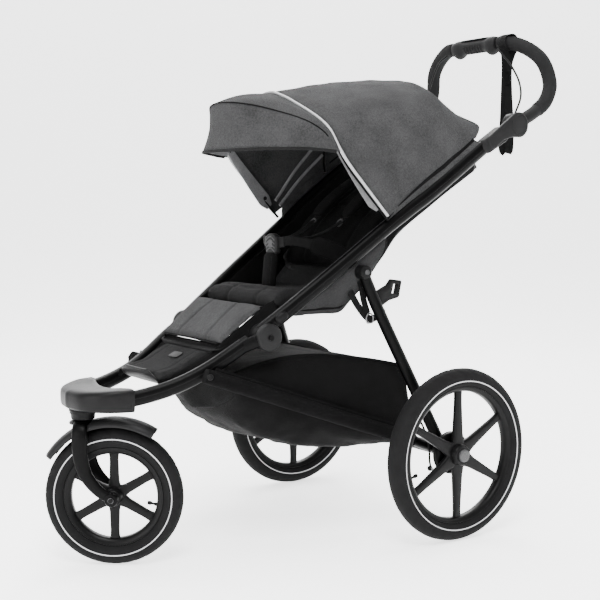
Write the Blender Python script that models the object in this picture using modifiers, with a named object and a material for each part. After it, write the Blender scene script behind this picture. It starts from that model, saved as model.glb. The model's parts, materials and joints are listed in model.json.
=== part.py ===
"""Three-wheeled jogging stroller with a folding frame, a swivelling front wheel and a twist-grip brake.

Everything is drawn in the axle frame: +X is the child's left, -Y is the front, +Z is up, y = 0 is the rear
axle and z = 0 the floor. The empty "axle_frame" then puts the middle of the stroller's length over the origin.
"""

import math

import bmesh
import bpy
from mathutils import Matrix, Vector

# ---------------------------------------------------------------- driving dimensions (metres, degrees)
LENGTH_SHIFT = 0.2168          # moves the middle of the length to y = 0
GAP = 0.0006                   # clearance left between touching pieces

REAR_RADIUS = 0.2000           # 16 inch tyre
REAR_TRACK = 0.3325            # half the distance between the rear wheels' middle planes
FRONT_RADIUS = 0.1497          # 12 inch tyre
TYRE_HALF_WIDTH = 0.0235
TYRE_HALF_HEIGHT = 0.0225
FENDER_RADIUS = 0.1690
SWIVEL_Y = -0.7800             # vertical swivel axis of the front wheel
TRAIL = 0.0660                 # the front axle lies this far behind the swivel axis
FRONT_YAW = 36.5               # the front wheel rests turned by this much

FOLD_Y, FOLD_Z = -0.4241, 0.4863        # fold hubs under the rails
LEG_Y, LEG_Z = -0.1836, 0.6217          # upper pivots of the rear legs
AXLE_Y, AXLE_Z = 0.0, REAR_RADIUS       # lower end of the rear legs
TUBE_Y, TUBE_Z = -0.5720, 0.4120        # front pivots of the lower side tubes
GRIP_Y, GRIP_Z = 0.2660, 0.9670         # handlebar hinges
CANOPY_Y, CANOPY_Z = -0.1290, 0.7440    # canopy hinges
RECLINE_Y, RECLINE_Z = -0.1150, 0.6000  # backrest hinge
BAR_Y, BAR_Z = 0.3600, 1.1880           # straight middle of the handlebar

RAIL_HALF_WIDTH = 0.0115
RAIL_HALF_HEIGHT = 0.0165
HUB_RADIUS = 0.0310
LEG_RADIUS = 0.0140
SIDE_TUBE_RADIUS = 0.0125
BAR_RADIUS = 0.0115
FOAM_RADIUS = 0.0175
CLOTH = 0.0030                 # thickness of the cloth shells

# centre lines and edges, on the left side: (x, y, z)
LOWER_RAIL = [
    (0.0870, -0.7480, 0.3640), (0.0980, -0.7000, 0.3680), (0.1110, -0.6500, 0.3790),
    (0.1250, -0.6000, 0.3960), (0.1400, -0.5500, 0.4210), (0.1530, -0.5050, 0.4490),
    (0.1650, -0.4490, 0.4855),
]
UPPER_RAIL = [
    (0.1685, -0.4350, 0.4955), (0.1790, -0.3790, 0.5350), (0.1880, -0.3210, 0.5760),
    (0.1950, -0.2700, 0.6120), (0.2010, -0.2160, 0.6500), (0.2070, -0.1600, 0.6900),
    (0.2130, -0.1050, 0.7290), (0.2240, -0.0500, 0.7680), (0.2320, 0.0000, 0.8010),
    (0.2370, 0.0850, 0.8590), (0.2380, 0.1620, 0.9110),
]
BUCKLE = (0.0, -0.2880, 0.6820)
REAR_LEG = [
    (0.2120, LEG_Y, LEG_Z), (0.2160, -0.1620, 0.5700), (0.2290, -0.1280, 0.4910), (0.2560, -0.0620, 0.3430),
    (0.2760, -0.0180, 0.2420), (0.2840, AXLE_Y, AXLE_Z),
]
HANDLEBAR = [
    (0.2315, 0.2790, 0.9720), (0.2315, 0.3050, 0.9840), (0.2315, 0.3410, 1.0030), (0.2290, 0.3780, 1.0280),
    (0.2230, 0.4020, 1.0650), (0.2170, 0.4030, 1.0960), (0.2090, 0.3970, 1.1230), (0.1950, 0.3910, 1.1440),
    (0.1700, 0.3830, 1.1640), (0.1400, 0.3740, 1.1790), (0.1100, 0.3640, 1.1870), (0.0850, BAR_Y, BAR_Z),
]
CANOPY_FRONT = [
    (0.2290, -0.1290, 0.7520), (0.2320, -0.1900, 0.8140), (0.2350, -0.2450, 0.8730),
    (0.2320, -0.2780, 0.9200), (0.2150, -0.2930, 0.9530), (0.1700, -0.3000, 0.9790),
    (0.1100, -0.3020, 1.0030), (0.0550, -0.3000, 1.0230), (0.0000, -0.2970, 1.0330),
]
CANOPY_RIDGE = [
    (0.2380, 0.0300, 0.8480), (0.2420, 0.0320, 0.9000), (0.2400, 0.0340, 0.9500),
    (0.2280, 0.0360, 0.9950), (0.1900, 0.0380, 1.0350), (0.1300, 0.0400, 1.0620),
    (0.0650, 0.0400, 1.0770), (0.0000, 0.0400, 1.0810),
]
CANOPY_REAR = [
    (0.2360, 0.1340, 0.9320), (0.2370, 0.1380, 0.9450), (0.2280, 0.1420, 0.9640),
    (0.1900, 0.1440, 0.9940), (0.1300, 0.1300, 1.0250), (0.0650, 0.1140, 1.0500),
    (0.0000, 0.1060, 1.0600),
]
VISOR_EDGE = [
    (0.2360, -0.2790, 0.8930), (0.2100, -0.3180, 0.8990), (0.1600, -0.3620, 0.9030),
    (0.0850, -0.3980, 0.9030), (0.0000, -0.4120, 0.9020),
]
VISOR_BROW = [
    (0.2390, -0.2860, 0.9080), (0.2200, -0.3400, 0.9440), (0.1700, -0.3950, 0.9720),
    (0.0850, -0.4360, 0.9880), (0.0000, -0.4520, 0.9930),
]

COLOURS = {                    # slot: (colour, roughness, metallic)
    "frame": ((0.020, 0.020, 0.022, 1), 0.45, 0.35),
    "black_plastic": ((0.025, 0.025, 0.027, 1), 0.55, 0.0),
    "grey_plastic": ((0.075, 0.075, 0.080, 1), 0.50, 0.0),
    "light_plastic": ((0.230, 0.230, 0.240, 1), 0.45, 0.0),
    "steel": ((0.550, 0.550, 0.560, 1), 0.30, 1.0),
    "tyre": ((0.035, 0.035, 0.037, 1), 0.85, 0.0),
    "foam": ((0.045, 0.045, 0.048, 1), 0.95, 0.0),
    "melange": ((0.150, 0.150, 0.155, 1), 0.95, 0.0),
    "black_cloth": ((0.012, 0.012, 0.013, 1), 0.95, 0.0),
    "dark_cloth": ((0.060, 0.060, 0.064, 1), 0.90, 0.0),
    "webbing": ((0.015, 0.015, 0.016, 1), 0.80, 0.0),
}

SIDES = (("left", 1), ("right", -1))
ALONG_X = (math.pi / 2, 0, math.pi / 2)   # turns local XYZ onto YZX: outlines are side views, axes lie along X

# ---------------------------------------------------------------- scene, materials and placing


def clear_scene():
    for old in list(bpy.data.objects):
        bpy.data.objects.remove(old, do_unlink=True)


def new_collection(name):
    made = bpy.data.collections.new(name)
    bpy.context.scene.collection.children.link(made)
    return made


def make_materials():
    made = {}
    for slot, (colour, roughness, metallic) in COLOURS.items():
        surface = bpy.data.materials.new(slot)
        surface.use_nodes = True
        shader = surface.node_tree.nodes["Principled BSDF"]
        shader.inputs["Base Color"].default_value = colour
        shader.inputs["Roughness"].default_value = roughness
        shader.inputs["Metallic"].default_value = metallic
        made[slot] = surface
    return made


def pivot(name, location, parent=None, turn_z=0.0):
    """An empty on a joint's axis. Its children are drawn in the axle frame's own coordinates."""
    made = bpy.data.objects.new(name, None)
    made.location = location
    made.rotation_euler = (0, 0, math.radians(turn_z))
    made.parent = parent
    made["base"] = list(location)
    PARTS.objects.link(made)
    return made


def add_part(name, data, slot, parent, location=(0, 0, 0), turn=(0, 0, 0)):
    """Put new geometry into the parts' collection, hung from the empty on its joint's axis."""
    made = bpy.data.objects.new(name, data)
    PARTS.objects.link(made)
    data.materials.append(MATERIALS[slot])
    made.parent = parent
    made.location = Vector(location) - Vector(parent["base"])
    made.rotation_euler = turn
    return made


def make_cutter(made):
    """Keep an object as a tool for Boolean modifiers only."""
    PARTS.objects.unlink(made)
    CUTTERS.objects.link(made)
    made.hide_render = True
    made.display_type = "WIRE"
    return made


def boolean(target, tool, operation):
    change = target.modifiers.new(operation.lower(), "BOOLEAN")
    change.operation = operation
    change.solver = "EXACT"
    change.object = tool
    return target


def cut(target, *tools):
    for tool in tools:
        boolean(target, tool, "DIFFERENCE")
    return target


def join(target, *tools):
    for tool in tools:
        boolean(target, tool, "UNION")
    return target


def round_edges(made, width, segments=2):
    bevel = made.modifiers.new("round", "BEVEL")
    bevel.width = width
    bevel.segments = segments
    bevel.limit_method = "ANGLE"
    bevel.angle_limit = math.radians(40)
    return made


def smooth(made):
    made.data.shade_smooth()
    made.data.set_sharp_from_angle(angle=math.radians(35))
    return made


# ---------------------------------------------------------------- shapes


def mirrored(points, side):
    return [(side * x, y, z) for x, y, z in points]


def smooth_line(points, per_span):
    """Catmull-Rom points through the given ones, per_span steps between each pair."""
    given = [Vector(p) for p in points]
    padded = [2 * given[0] - given[1], *given, 2 * given[-1] - given[-2]]
    line = []
    for i in range(1, len(padded) - 2):
        before, start, end, after = padded[i - 1 : i + 3]
        for step in range(per_span):
            t = step / per_span
            line.append(
                0.5 * (2 * start + (end - before) * t
                       + (2 * before - 5 * start + 4 * end - after) * t**2
                       + (3 * start - before - 3 * end + after) * t**3)
            )
    line.append(given[-1])
    return line


def even_line(points, count):
    """count points spaced evenly along a smooth line through the given ones."""
    line = smooth_line(points, 12)
    lengths = [0.0]
    for here, there in zip(line, line[1:]):
        lengths.append(lengths[-1] + (there - here).length)
    spaced = []
    span = 0
    for i in range(count):
        goal = lengths[-1] * i / (count - 1)
        while span < len(line) - 2 and lengths[span + 1] < goal:
            span += 1
        share = (goal - lengths[span]) / (lengths[span + 1] - lengths[span])
        spaced.append(line[span].lerp(line[span + 1], min(max(share, 0.0), 1.0)))
    return spaced


def whole_line(points, count):
    """A left half that ends on the middle plane, carried over to the right: 2 * count - 1 points."""
    half = even_line(points, count)
    other = [Vector((-p.x, p.y, p.z)) for p in reversed(half[:-1])]
    return half + other


def curve_data(name, points, radius, resolution, caps=True):
    data = bpy.data.curves.new(name, "CURVE")
    data.dimensions = "3D"
    data.twist_mode = "MINIMUM"
    data.bevel_depth = radius
    data.bevel_resolution = resolution
    data.use_fill_caps = caps
    spline = data.splines.new("POLY")
    spline.points.add(len(points) - 1)
    for target, point in zip(spline.points, points):
        target.co = (*point, 1)
    return data


def tube(name, points, radius, slot, parent, resolution=3, caps=True):
    return add_part(name, curve_data(name, points, radius, resolution, caps), slot, parent)


def oval_bar(name, points, half_width, half_height, slot, parent):
    """A bar of oval section, its taller side in the vertical plane."""
    outline = bpy.data.curves.new(name + "_section", "CURVE")
    outline.dimensions = "2D"
    outline.fill_mode = "NONE"
    corners = 12
    spline = outline.splines.new("POLY")
    spline.points.add(corners - 1)
    for i, target in enumerate(spline.points):
        turn = 2 * math.pi * (i + 0.5) / corners
        target.co = (half_width * math.cos(turn), half_height * math.sin(turn), 0, 1)
    spline.use_cyclic_u = True
    section = bpy.data.objects.new(name + "_section", outline)
    section.hide_render = True
    section.display_type = "WIRE"
    CUTTERS.objects.link(section)
    made = tube(name, points, 0.0, slot, parent)
    made.data.twist_mode = "Z_UP"
    made.data.bevel_mode = "OBJECT"
    made.data.bevel_object = section
    return made


def as_mesh(made):
    """The mesh of a curve with its caps welded on, so that it can be cut or joined."""
    bpy.context.view_layer.update()
    evaluated = made.evaluated_get(bpy.context.evaluated_depsgraph_get())
    mesh = bpy.data.meshes.new_from_object(evaluated)
    welded = bmesh.new()
    welded.from_mesh(mesh)
    bmesh.ops.remove_doubles(welded, verts=welded.verts, dist=0.00001)
    bmesh.ops.recalc_face_normals(welded, faces=welded.faces)
    welded.to_mesh(mesh)
    welded.free()
    name, parent, slot = made.name, made.parent, made.data.materials[0]
    location, turn = made.location.copy(), made.rotation_euler.copy()
    bpy.data.objects.remove(made)
    mesh.materials.clear()
    solid = bpy.data.objects.new(name, mesh)
    mesh.materials.append(slot)
    PARTS.objects.link(solid)
    solid.parent, solid.location, solid.rotation_euler = parent, location, turn
    return solid


def cylinder(name, radius, low_x, high_x, y, z, slot, parent, sides=20):
    """A round bar along X."""
    mesh = bpy.data.meshes.new(name)
    shape = bmesh.new()
    depth = high_x - low_x
    bmesh.ops.create_cone(shape, cap_ends=True, segments=sides, radius1=radius, radius2=radius, depth=depth)
    shape.to_mesh(mesh)
    shape.free()
    middle = ((low_x + high_x) / 2, y, z)
    return smooth(add_part(name, mesh, slot, parent, middle, ALONG_X))


def box(name, size, middle, slot, parent, turn=(0, 0, 0)):
    mesh = bpy.data.meshes.new(name)
    shape = bmesh.new()
    bmesh.ops.create_cube(shape, size=1.0, matrix=Matrix.Diagonal((*size, 1)))
    shape.to_mesh(mesh)
    shape.free()
    return add_part(name, mesh, slot, parent, middle, turn)


def turned(name, profile, steps, slot, parent, location, turn=ALONG_X, closed=True, angle=360.0):
    """A turned piece. The profile's (radius, height) points start at the outer top and run down."""
    mesh = bpy.data.meshes.new(name)
    count = len(profile)
    edges = [(i, i + 1) for i in range(count - 1)]
    if closed:
        edges.append((count - 1, 0))
    mesh.from_pydata([(radius, 0, height) for radius, height in profile], edges, [])
    made = add_part(name, mesh, slot, parent, location, turn)
    screw = made.modifiers.new("turn", "SCREW")
    screw.angle = math.radians(angle)
    screw.steps = steps
    screw.render_steps = steps
    screw.use_merge_vertices = angle == 360.0
    screw.merge_threshold = 0.00001
    screw.use_smooth_shade = True
    return made


def ring_profile(outer, inner, low, high):
    return [(outer, high), (outer, low), (inner, low), (inner, high)]


def plate(name, outline, low_x, high_x, slot, parent):
    """A side-view outline of (y, z) points, extruded along X."""
    data = bpy.data.curves.new(name, "CURVE")
    data.dimensions = "2D"
    data.fill_mode = "BOTH"
    data.extrude = (high_x - low_x) / 2
    spline = data.splines.new("POLY")
    spline.points.add(len(outline) - 1)
    for target, (y, z) in zip(spline.points, outline):
        target.co = (y, z, 0, 1)
    spline.use_cyclic_u = True
    return add_part(name, data, slot, parent, ((low_x + high_x) / 2, 0, 0), ALONG_X)


def arc(y, z, radius, start, end, steps):
    """Points of an arc in the side view, angles in degrees from +Y towards +Z."""
    turns = [math.radians(start + (end - start) * i / steps) for i in range(steps + 1)]
    return [(y + radius * math.cos(a), z + radius * math.sin(a)) for a in turns]


def sheet(name, rows, thickness, slot, parent, offset=-1.0):
    """A lofted cloth shell between rows of equally many points."""
    mesh = bpy.data.meshes.new(name)
    across = len(rows[0])
    points = [point for row in rows for point in row]
    faces = []
    for i in range(len(rows) - 1):
        for j in range(across - 1):
            first = i * across + j
            faces.append((first, first + 1, first + across + 1, first + across))
    mesh.from_pydata(points, [], faces)
    made = smooth(add_part(name, mesh, slot, parent))
    shell = made.modifiers.new("thickness", "SOLIDIFY")
    shell.thickness = thickness
    shell.offset = offset
    shell.use_even_offset = False
    return made


def between(first, last, share, bulge=(0, 0, 0)):
    """A row part of the way from one row to another, pushed out by bulge where it is far from the ends."""
    push = Vector(bulge)
    count = len(first)
    row = []
    for i, (here, there) in enumerate(zip(first, last)):
        weight = math.sin(math.pi * i / (count - 1))
        row.append(here.lerp(there, share) + push * weight)
    return row


# ---------------------------------------------------------------- wheels


def tyre_profile(radius):
    middle = radius - TYRE_HALF_HEIGHT
    sides = 8
    turns = [math.pi / 2 - 2 * math.pi * i / sides for i in range(sides)]
    return [(middle + TYRE_HALF_HEIGHT * math.cos(a), TYRE_HALF_WIDTH * math.sin(a)) for a in turns]


def rim_profile(seat):
    """Section of a rim whose tyre seat has the given radius."""
    return [
        (seat + 0.0018, 0.0135), (seat + 0.0018, 0.0115), (seat - 0.0008, 0.0090),
        (seat - 0.0008, -0.0090), (seat + 0.0018, -0.0115), (seat + 0.0018, -0.0135),
        (seat - 0.0065, -0.0110), (seat - 0.0065, 0.0110),
    ]


def spoke_outline(inner, outer, hub_half, rim_half):
    """Outline of six spokes that narrow towards the rim, one of them upright."""
    outline = []
    for spoke in range(6):
        turn = math.radians(30 + 60 * spoke)
        along = Vector((math.cos(turn), math.sin(turn)))
        across = Vector((-along.y, along.x))
        for radius, half in ((inner, -hub_half), (outer, -rim_half), (outer, rim_half), (inner, hub_half)):
            outline.append(tuple(along * radius + across * half))
    return outline


def wheel(name, parent, centre, radius, hub_radius, hub_low, hub_high, axle_radius):
    """Tyre, and a rim with six spokes and a bored hub. The wheel's axis lies along its own X."""
    turned(f"{name}_tyre", tyre_profile(radius), 36, "tyre", parent, centre)
    seat = radius - 2 * TYRE_HALF_HEIGHT
    rim = turned(f"{name}_rim", rim_profile(seat), 36, "black_plastic", parent, centre)
    star = plate(f"{name}_spokes", spoke_outline(0.0165, seat - 0.004, 0.0090, 0.0070), -0.0065, 0.0065,
                 "black_plastic", parent)
    star.location = rim.location
    hub = cylinder(f"{name}_hub", hub_radius, hub_low, hub_high, 0, 0, "black_plastic", parent, 24)
    hub.location = rim.location + Vector(((hub_low + hub_high) / 2, 0, 0))
    bore = cylinder(f"{name}_bore", axle_radius + GAP, -0.04, 0.04, 0, 0, "black_plastic", parent, 24)
    bore.location = rim.location
    join(rim, make_cutter(as_mesh(star)), make_cutter(hub))
    cut(rim, make_cutter(bore))
    return rim


def rear_wheels(parents):
    for side_name, side in SIDES:
        parent = parents[side_name]
        centre = (side * REAR_TRACK, AXLE_Y, AXLE_Z)
        low, high = sorted((-0.0100 * side, 0.0200 * side))
        wheel(f"rear_{side_name}", parent, centre, REAR_RADIUS, 0.0240, low, high, 0.0060)
        inner, outer = sorted((side * 0.3535, side * 0.3605))
        cap = cylinder(f"hub_cap_{side_name}", 0.0165, inner, outer, AXLE_Y, AXLE_Z, "light_plastic", parent, 24)
        round_edges(cap, 0.0015)


# ---------------------------------------------------------------- front frame (fixed)


def front_casting(parent):
    """Horseshoe casting over both rail ends, with the swivel boss in its nose."""
    outer = [(0.1140, -0.7150), (0.1060, -0.7450), (0.0880, -0.7800), (0.0570, -0.8070), (0.0200, -0.8180)]
    inner = [(0.0300, -0.7380), (0.0560, -0.7300), (0.0700, -0.7150)]
    right_outer = [(-x, y) for x, y in reversed(outer)]
    right_inner = [(-x, y) for x, y in reversed(inner)]
    outline = outer + right_outer + right_inner + inner
    data = bpy.data.curves.new("front_casting", "CURVE")
    data.dimensions = "2D"
    data.fill_mode = "BOTH"
    data.extrude = 0.0250
    spline = data.splines.new("POLY")
    spline.points.add(len(outline) - 1)
    for target, (x, y) in zip(spline.points, outline):
        target.co = (x, y, 0, 1)
    spline.use_cyclic_u = True
    casting = as_mesh(add_part("front_casting", data, "grey_plastic", parent, (0, 0, 0.3640)))
    sockets = []
    for side_name, side in SIDES:
        line = smooth_line(mirrored(LOWER_RAIL, side), 3)
        line.insert(0, line[0] + (line[0] - line[1]).normalized() * 0.002)
        socket = oval_bar(f"rail_socket_{side_name}", line, RAIL_HALF_WIDTH + GAP, RAIL_HALF_HEIGHT + GAP, "frame",
                          parent)
        sockets.append(make_cutter(as_mesh(socket)))
    round_edges(casting, 0.0060)
    cut(casting, *sockets)
    return casting


def hub_room(name, side, inner, parent):
    """The space a fold hub takes, from the given distance outwards."""
    low, high = sorted((side * inner, side * 0.2000))
    return make_cutter(cylinder(name, HUB_RADIUS + GAP, low, high, FOLD_Y, FOLD_Z, "frame", parent, 32))


def lower_rails(parent):
    for side_name, side in SIDES:
        rail = oval_bar(f"lower_rail_{side_name}", smooth_line(mirrored(LOWER_RAIL, side), 3),
                        RAIL_HALF_WIDTH, RAIL_HALF_HEIGHT, "frame", parent)
        rail = cut(smooth(as_mesh(rail)), hub_room(f"lower_room_{side_name}", side, 0.1480, parent))
        low, high = sorted((side * 0.1300, side * 0.1900))
        pin = cylinder(f"tube_pin_{side_name}", 0.0040, low, high, TUBE_Y, TUBE_Z, "frame", parent, 12)
        join(rail, make_cutter(pin))


def fold_hubs(parent):
    """The outer half of each fold hub, with its pin, and the cross tube that ties the two hubs."""
    for side_name, side in SIDES:
        low, high = sorted((side * 0.1770, side * 0.1950))
        profile = ring_profile(HUB_RADIUS, 0.0066, low - side * REAR_TRACK, high - side * REAR_TRACK)
        turned(f"fold_hub_{side_name}", profile, 32, "grey_plastic", parent, (side * REAR_TRACK, FOLD_Y, FOLD_Z))
    axle = cylinder("fold_axle", 0.0110, -0.1465, 0.1465, FOLD_Y, FOLD_Z, "steel", parent, 16)
    pin = cylinder("fold_pin", 0.0060, -0.1990, 0.1990, FOLD_Y, FOLD_Z, "steel", parent, 16)
    join(axle, make_cutter(pin))


def footrest(parent):
    rows = []
    for y, z, half in ((-0.6560, 0.4170, 0.060), (-0.6530, 0.4040, 0.078), (-0.6400, 0.3900, 0.086),
                       (-0.6150, 0.3830, 0.092), (-0.5800, 0.3830, 0.098)):
        rows.append([Vector((half * i / 4, y, z)) for i in range(4, -5, -1)])
    sheet("footrest_plate", rows, 0.0035, "grey_plastic", parent)
    pad = [(-0.5220, 0.4550), (-0.5950, 0.4190), (-0.6440, 0.4090), (-0.6400, 0.3980), (-0.5900, 0.4060),
           (-0.5150, 0.4420)]
    round_edges(as_mesh(plate("footrest_pad", pad, -0.0880, 0.0880, "dark_cloth", parent)), 0.003)


def calf_pad(parent):
    top, bottom = [], []
    for i in range(4, -5, -1):
        top.append(Vector((0.1400 * i / 4, -0.4000, 0.5560)))
        bottom.append(Vector((0.1160 * i / 4, -0.5170, 0.4680)))
    sheet("calf_pad", [bottom, between(bottom, top, 0.5, (0, -0.002, 0.003)), top], 0.0120, "melange", parent, 1.0)


def swivel_housing(parent):
    profile = [(0.0280, 0.3380), (0.0250, 0.3180), (0.0066, 0.3180), (0.0066, 0.3380)]
    turned("swivel_housing", profile, 24, "black_plastic", parent, (0, SWIVEL_Y, 0), (0, 0, 0))


# ---------------------------------------------------------------- front fork and wheel


def fork(parent):
    """Crown and two blades that sweep back to the axle, drawn with the wheel straight ahead."""
    crown = turned("front_fork", [(0.0330, 0.3160), (0.0400, 0.2960), (0.0040, 0.2960), (0.0040, 0.3160)], 20,
                   "frame", parent, (0, SWIVEL_Y, 0), (0, 0, 0))
    tools = []
    for side_name, side in SIDES:
        x = side * 0.0385
        blade = [(side * 0.0300, 0.0000, 0.3000), (x, 0.0000, 0.2820), (x, 0.0020, 0.2400), (x, 0.0140, 0.1950),
                 (x, 0.0400, 0.1630), (x, TRAIL, FRONT_RADIUS)]
        line = [(a, SWIVEL_Y + b, c) for a, b, c in blade]
        bar = oval_bar(f"blade_{side_name}", smooth_line(line, 3), 0.0065, 0.0130, "frame", parent)
        tools.append(make_cutter(as_mesh(bar)))
        low, high = sorted((side * 0.0320, side * 0.0455))
        end = cylinder(f"fork_end_{side_name}", 0.0150, low, high, SWIVEL_Y + TRAIL, FRONT_RADIUS, "frame", parent)
        tools.append(make_cutter(end))
    stem = cylinder("stem", 0.0060, -0.0210, 0.0210, SWIVEL_Y, 0, "frame", parent, 16)
    stem.rotation_euler = (0, 0, 0)
    stem.location.z = 0.3150
    tools.append(make_cutter(stem))
    join(crown, *tools)
    bore = cylinder("fork_bore", 0.0060 + GAP, -0.06, 0.06, SWIVEL_Y + TRAIL, FRONT_RADIUS, "frame", parent, 16)
    room = cylinder("fender_room", FENDER_RADIUS + 0.0010, -0.0305, 0.0305, SWIVEL_Y + TRAIL, FRONT_RADIUS,
                    "frame", parent, 48)
    cut(crown, make_cutter(bore), make_cutter(room))
    cylinder("front_axle", 0.0060, -0.0490, 0.0490, SWIVEL_Y + TRAIL, FRONT_RADIUS, "steel", parent, 16)


def fender(parent):
    """Arched mudguard over the front tyre, held between the fork's blades."""
    outer = FENDER_RADIUS
    profile = [(outer - 0.0140, 0.0290), (outer - 0.0050, 0.0270), (outer, 0.0160), (outer, -0.0160),
               (outer - 0.0050, -0.0270), (outer - 0.0140, -0.0290)]
    made = turned("fender", profile, 14, "black_plastic", parent, (0, SWIVEL_Y + TRAIL, FRONT_RADIUS),
                  closed=False, angle=92.0)
    made.rotation_euler = (Matrix.Rotation(math.radians(55.6), 3, "X") @ Matrix(
        ((0, 0, 1), (1, 0, 0), (0, 1, 0)))).to_euler()
    shell = made.modifiers.new("thickness", "SOLIDIFY")
    shell.thickness = 0.0028
    shell.offset = -1.0
    return made


# ---------------------------------------------------------------- upper frame


def upper_rails(parent):
    """Each rail with its fold knuckle and the welded bracket that carries the rear leg."""
    for side_name, side in SIDES:
        rail = oval_bar(f"upper_rail_{side_name}", smooth_line(mirrored(UPPER_RAIL, side), 2),
                        RAIL_HALF_WIDTH, RAIL_HALF_HEIGHT, "frame", parent)
        rail = cut(smooth(as_mesh(rail)), hub_room(f"upper_room_{side_name}", side, 0.1766, parent),
                   HINGE_TOOLS[side_name])
        low, high = sorted((side * 0.1490, side * 0.1764))
        knuckle = cylinder(f"fold_knuckle_{side_name}", HUB_RADIUS - 0.0020, low, high, FOLD_Y, FOLD_Z, "frame",
                           parent, 28)
        outline = [(-0.2080, 0.6430), (-0.1450, 0.6860), *arc(LEG_Y, LEG_Z, 0.0190, 0, -180, 10)]
        low, high = sorted((side * 0.1840, side * 0.1955))
        bracket = as_mesh(plate(f"leg_bracket_{side_name}", outline, low, high, "frame", parent))
        low, high = sorted((side * 0.1900, side * 0.2290))
        pin = cylinder(f"leg_pin_{side_name}", 0.0050, low, high, LEG_Y, LEG_Z, "frame", parent, 12)
        join(rail, make_cutter(knuckle), make_cutter(bracket), make_cutter(pin))
        low, high = sorted((side * 0.1400, side * 0.1990))
        fold_bore = cylinder(f"fold_bore_{side_name}", 0.0060 + GAP, low, high, FOLD_Y, FOLD_Z, "frame", parent, 16)
        cut(rail, make_cutter(fold_bore))


def handle_hinge_tool(side_name, side, grow, slot, parent):
    """The plastic body of a handlebar hinge: a long oval that ends in a round hub."""
    back = arc(GRIP_Y, GRIP_Z, 0.0300 + grow, 120, -60, 12)
    front = arc(0.1700, 0.9180, 0.0190 + grow, -60, -240, 8)
    low, high = sorted((side * (0.2250 - grow), side * (0.2540 + grow)))
    return as_mesh(plate(f"handle_hinge_{side_name}", back + front, low, high, slot, parent))


def handle_hinges(parent):
    for side_name, side in SIDES:
        hinge = handle_hinge_tool(side_name, side, 0.0, "grey_plastic", parent)
        round_edges(hinge, 0.0030)
        low, high = sorted((side * 0.2100, side * 0.2443))
        room = cylinder(f"knuckle_room_{side_name}", 0.0302, low, high, GRIP_Y, GRIP_Z, "frame", parent, 32)
        cut(hinge, make_cutter(room))


# ---------------------------------------------------------------- handlebar


def handlebar(parent):
    left = even_line(HANDLEBAR, 17)
    line = left + [Vector((-p.x, p.y, p.z)) for p in reversed(left)]
    bar = as_mesh(tube("handlebar_tube", line, BAR_RADIUS, "frame", parent, 3))
    tools = []
    for side_name, side in SIDES:
        foam = as_mesh(tube(f"foam_grip_{side_name}", mirrored(left[3:-1], side), FOAM_RADIUS, "foam", parent, 3))
        core = as_mesh(tube(f"foam_core_{side_name}", mirrored(left, side), BAR_RADIUS + 3 * GAP, "foam",
                            parent, 3))
        cut(smooth(foam), make_cutter(core))
        low, high = sorted((side * 0.2200, side * 0.2437))
        tools.append(cylinder(f"knuckle_{side_name}", 0.0290, low, high, GRIP_Y, GRIP_Z, "frame", parent, 28))
        low, high = sorted((side * 0.0795, side * 0.0925))
        tools.append(cylinder(f"collar_{side_name}", 0.0185, low, high, BAR_Y, BAR_Z, "frame", parent, 20))
    join(smooth(bar), *(make_cutter(tool) for tool in tools))


def brake_grip(parent):
    """The twist grip: a sleeve round the middle of the bar with a swell for the fingers at each end."""
    half = 0.0785
    bore = BAR_RADIUS + GAP
    profile = [(0.0170, half), (0.0215, half - 0.016), (0.0205, half - 0.032), (0.0165, half - 0.050),
               (0.0165, 0.050 - half), (0.0205, 0.032 - half), (0.0215, 0.016 - half), (0.0170, -half),
               (bore, -half), (bore, half)]
    turned("brake_grip", profile, 24, "grey_plastic", parent, (0, BAR_Y, BAR_Z))


def brake_cables(parent):
    route = [(0.0960, 0.3420, 1.1700), (0.1150, 0.3360, 1.1560), (0.1380, 0.3420, 1.1330), (0.1560, 0.3500, 1.1060),
             (0.1740, 0.3520, 1.0760), (0.1900, 0.3330, 1.0450), (0.2040, 0.3080, 1.0150), (0.2140, 0.2860, 0.9900)]
    for side_name, side in SIDES:
        line = even_line(mirrored(route, side), 22)
        tube(f"brake_cable_{side_name}", line, 0.0022, "webbing", parent, 2)


def wrist_strap(parent):
    """A loop of webbing round the bar, hanging behind the hinge."""
    edges = ((0.1020, 0.3627, 1.1872), (0.1240, 0.3687, 1.1838))
    points = []
    for x, middle, height in edges:
        turns = [math.radians(-40 + 26 * i) for i in range(11)]
        around = [(middle + 0.0232 * math.cos(a), height + 0.0232 * math.sin(a)) for a in turns]
        down = [(-0.0050, 1.1300), (-0.0110, 1.0300), (-0.0120, 0.9700), (-0.0080, 0.9440), (0.0, 0.9380)]
        front = [(0.3640 + shift, z) for shift, z in down]
        back = [(0.3640 - shift, z) for shift, z in reversed(down[:-1])]
        points.append([Vector((x, y, z)) for y, z in around + front + back])
    count = len(points[0])
    faces = []
    for i in range(count):
        j = (i + 1) % count
        faces.append((i, j, count + j, count + i))
    mesh = bpy.data.meshes.new("wrist_strap")
    mesh.from_pydata(points[0] + points[1], [], faces)
    made = smooth(add_part("wrist_strap", mesh, "webbing", parent))
    shell = made.modifiers.new("thickness", "SOLIDIFY")
    shell.thickness = 0.0015
    shell.offset = -1.0
    shell.use_even_offset = False
    return made


# ---------------------------------------------------------------- rear frame


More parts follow.
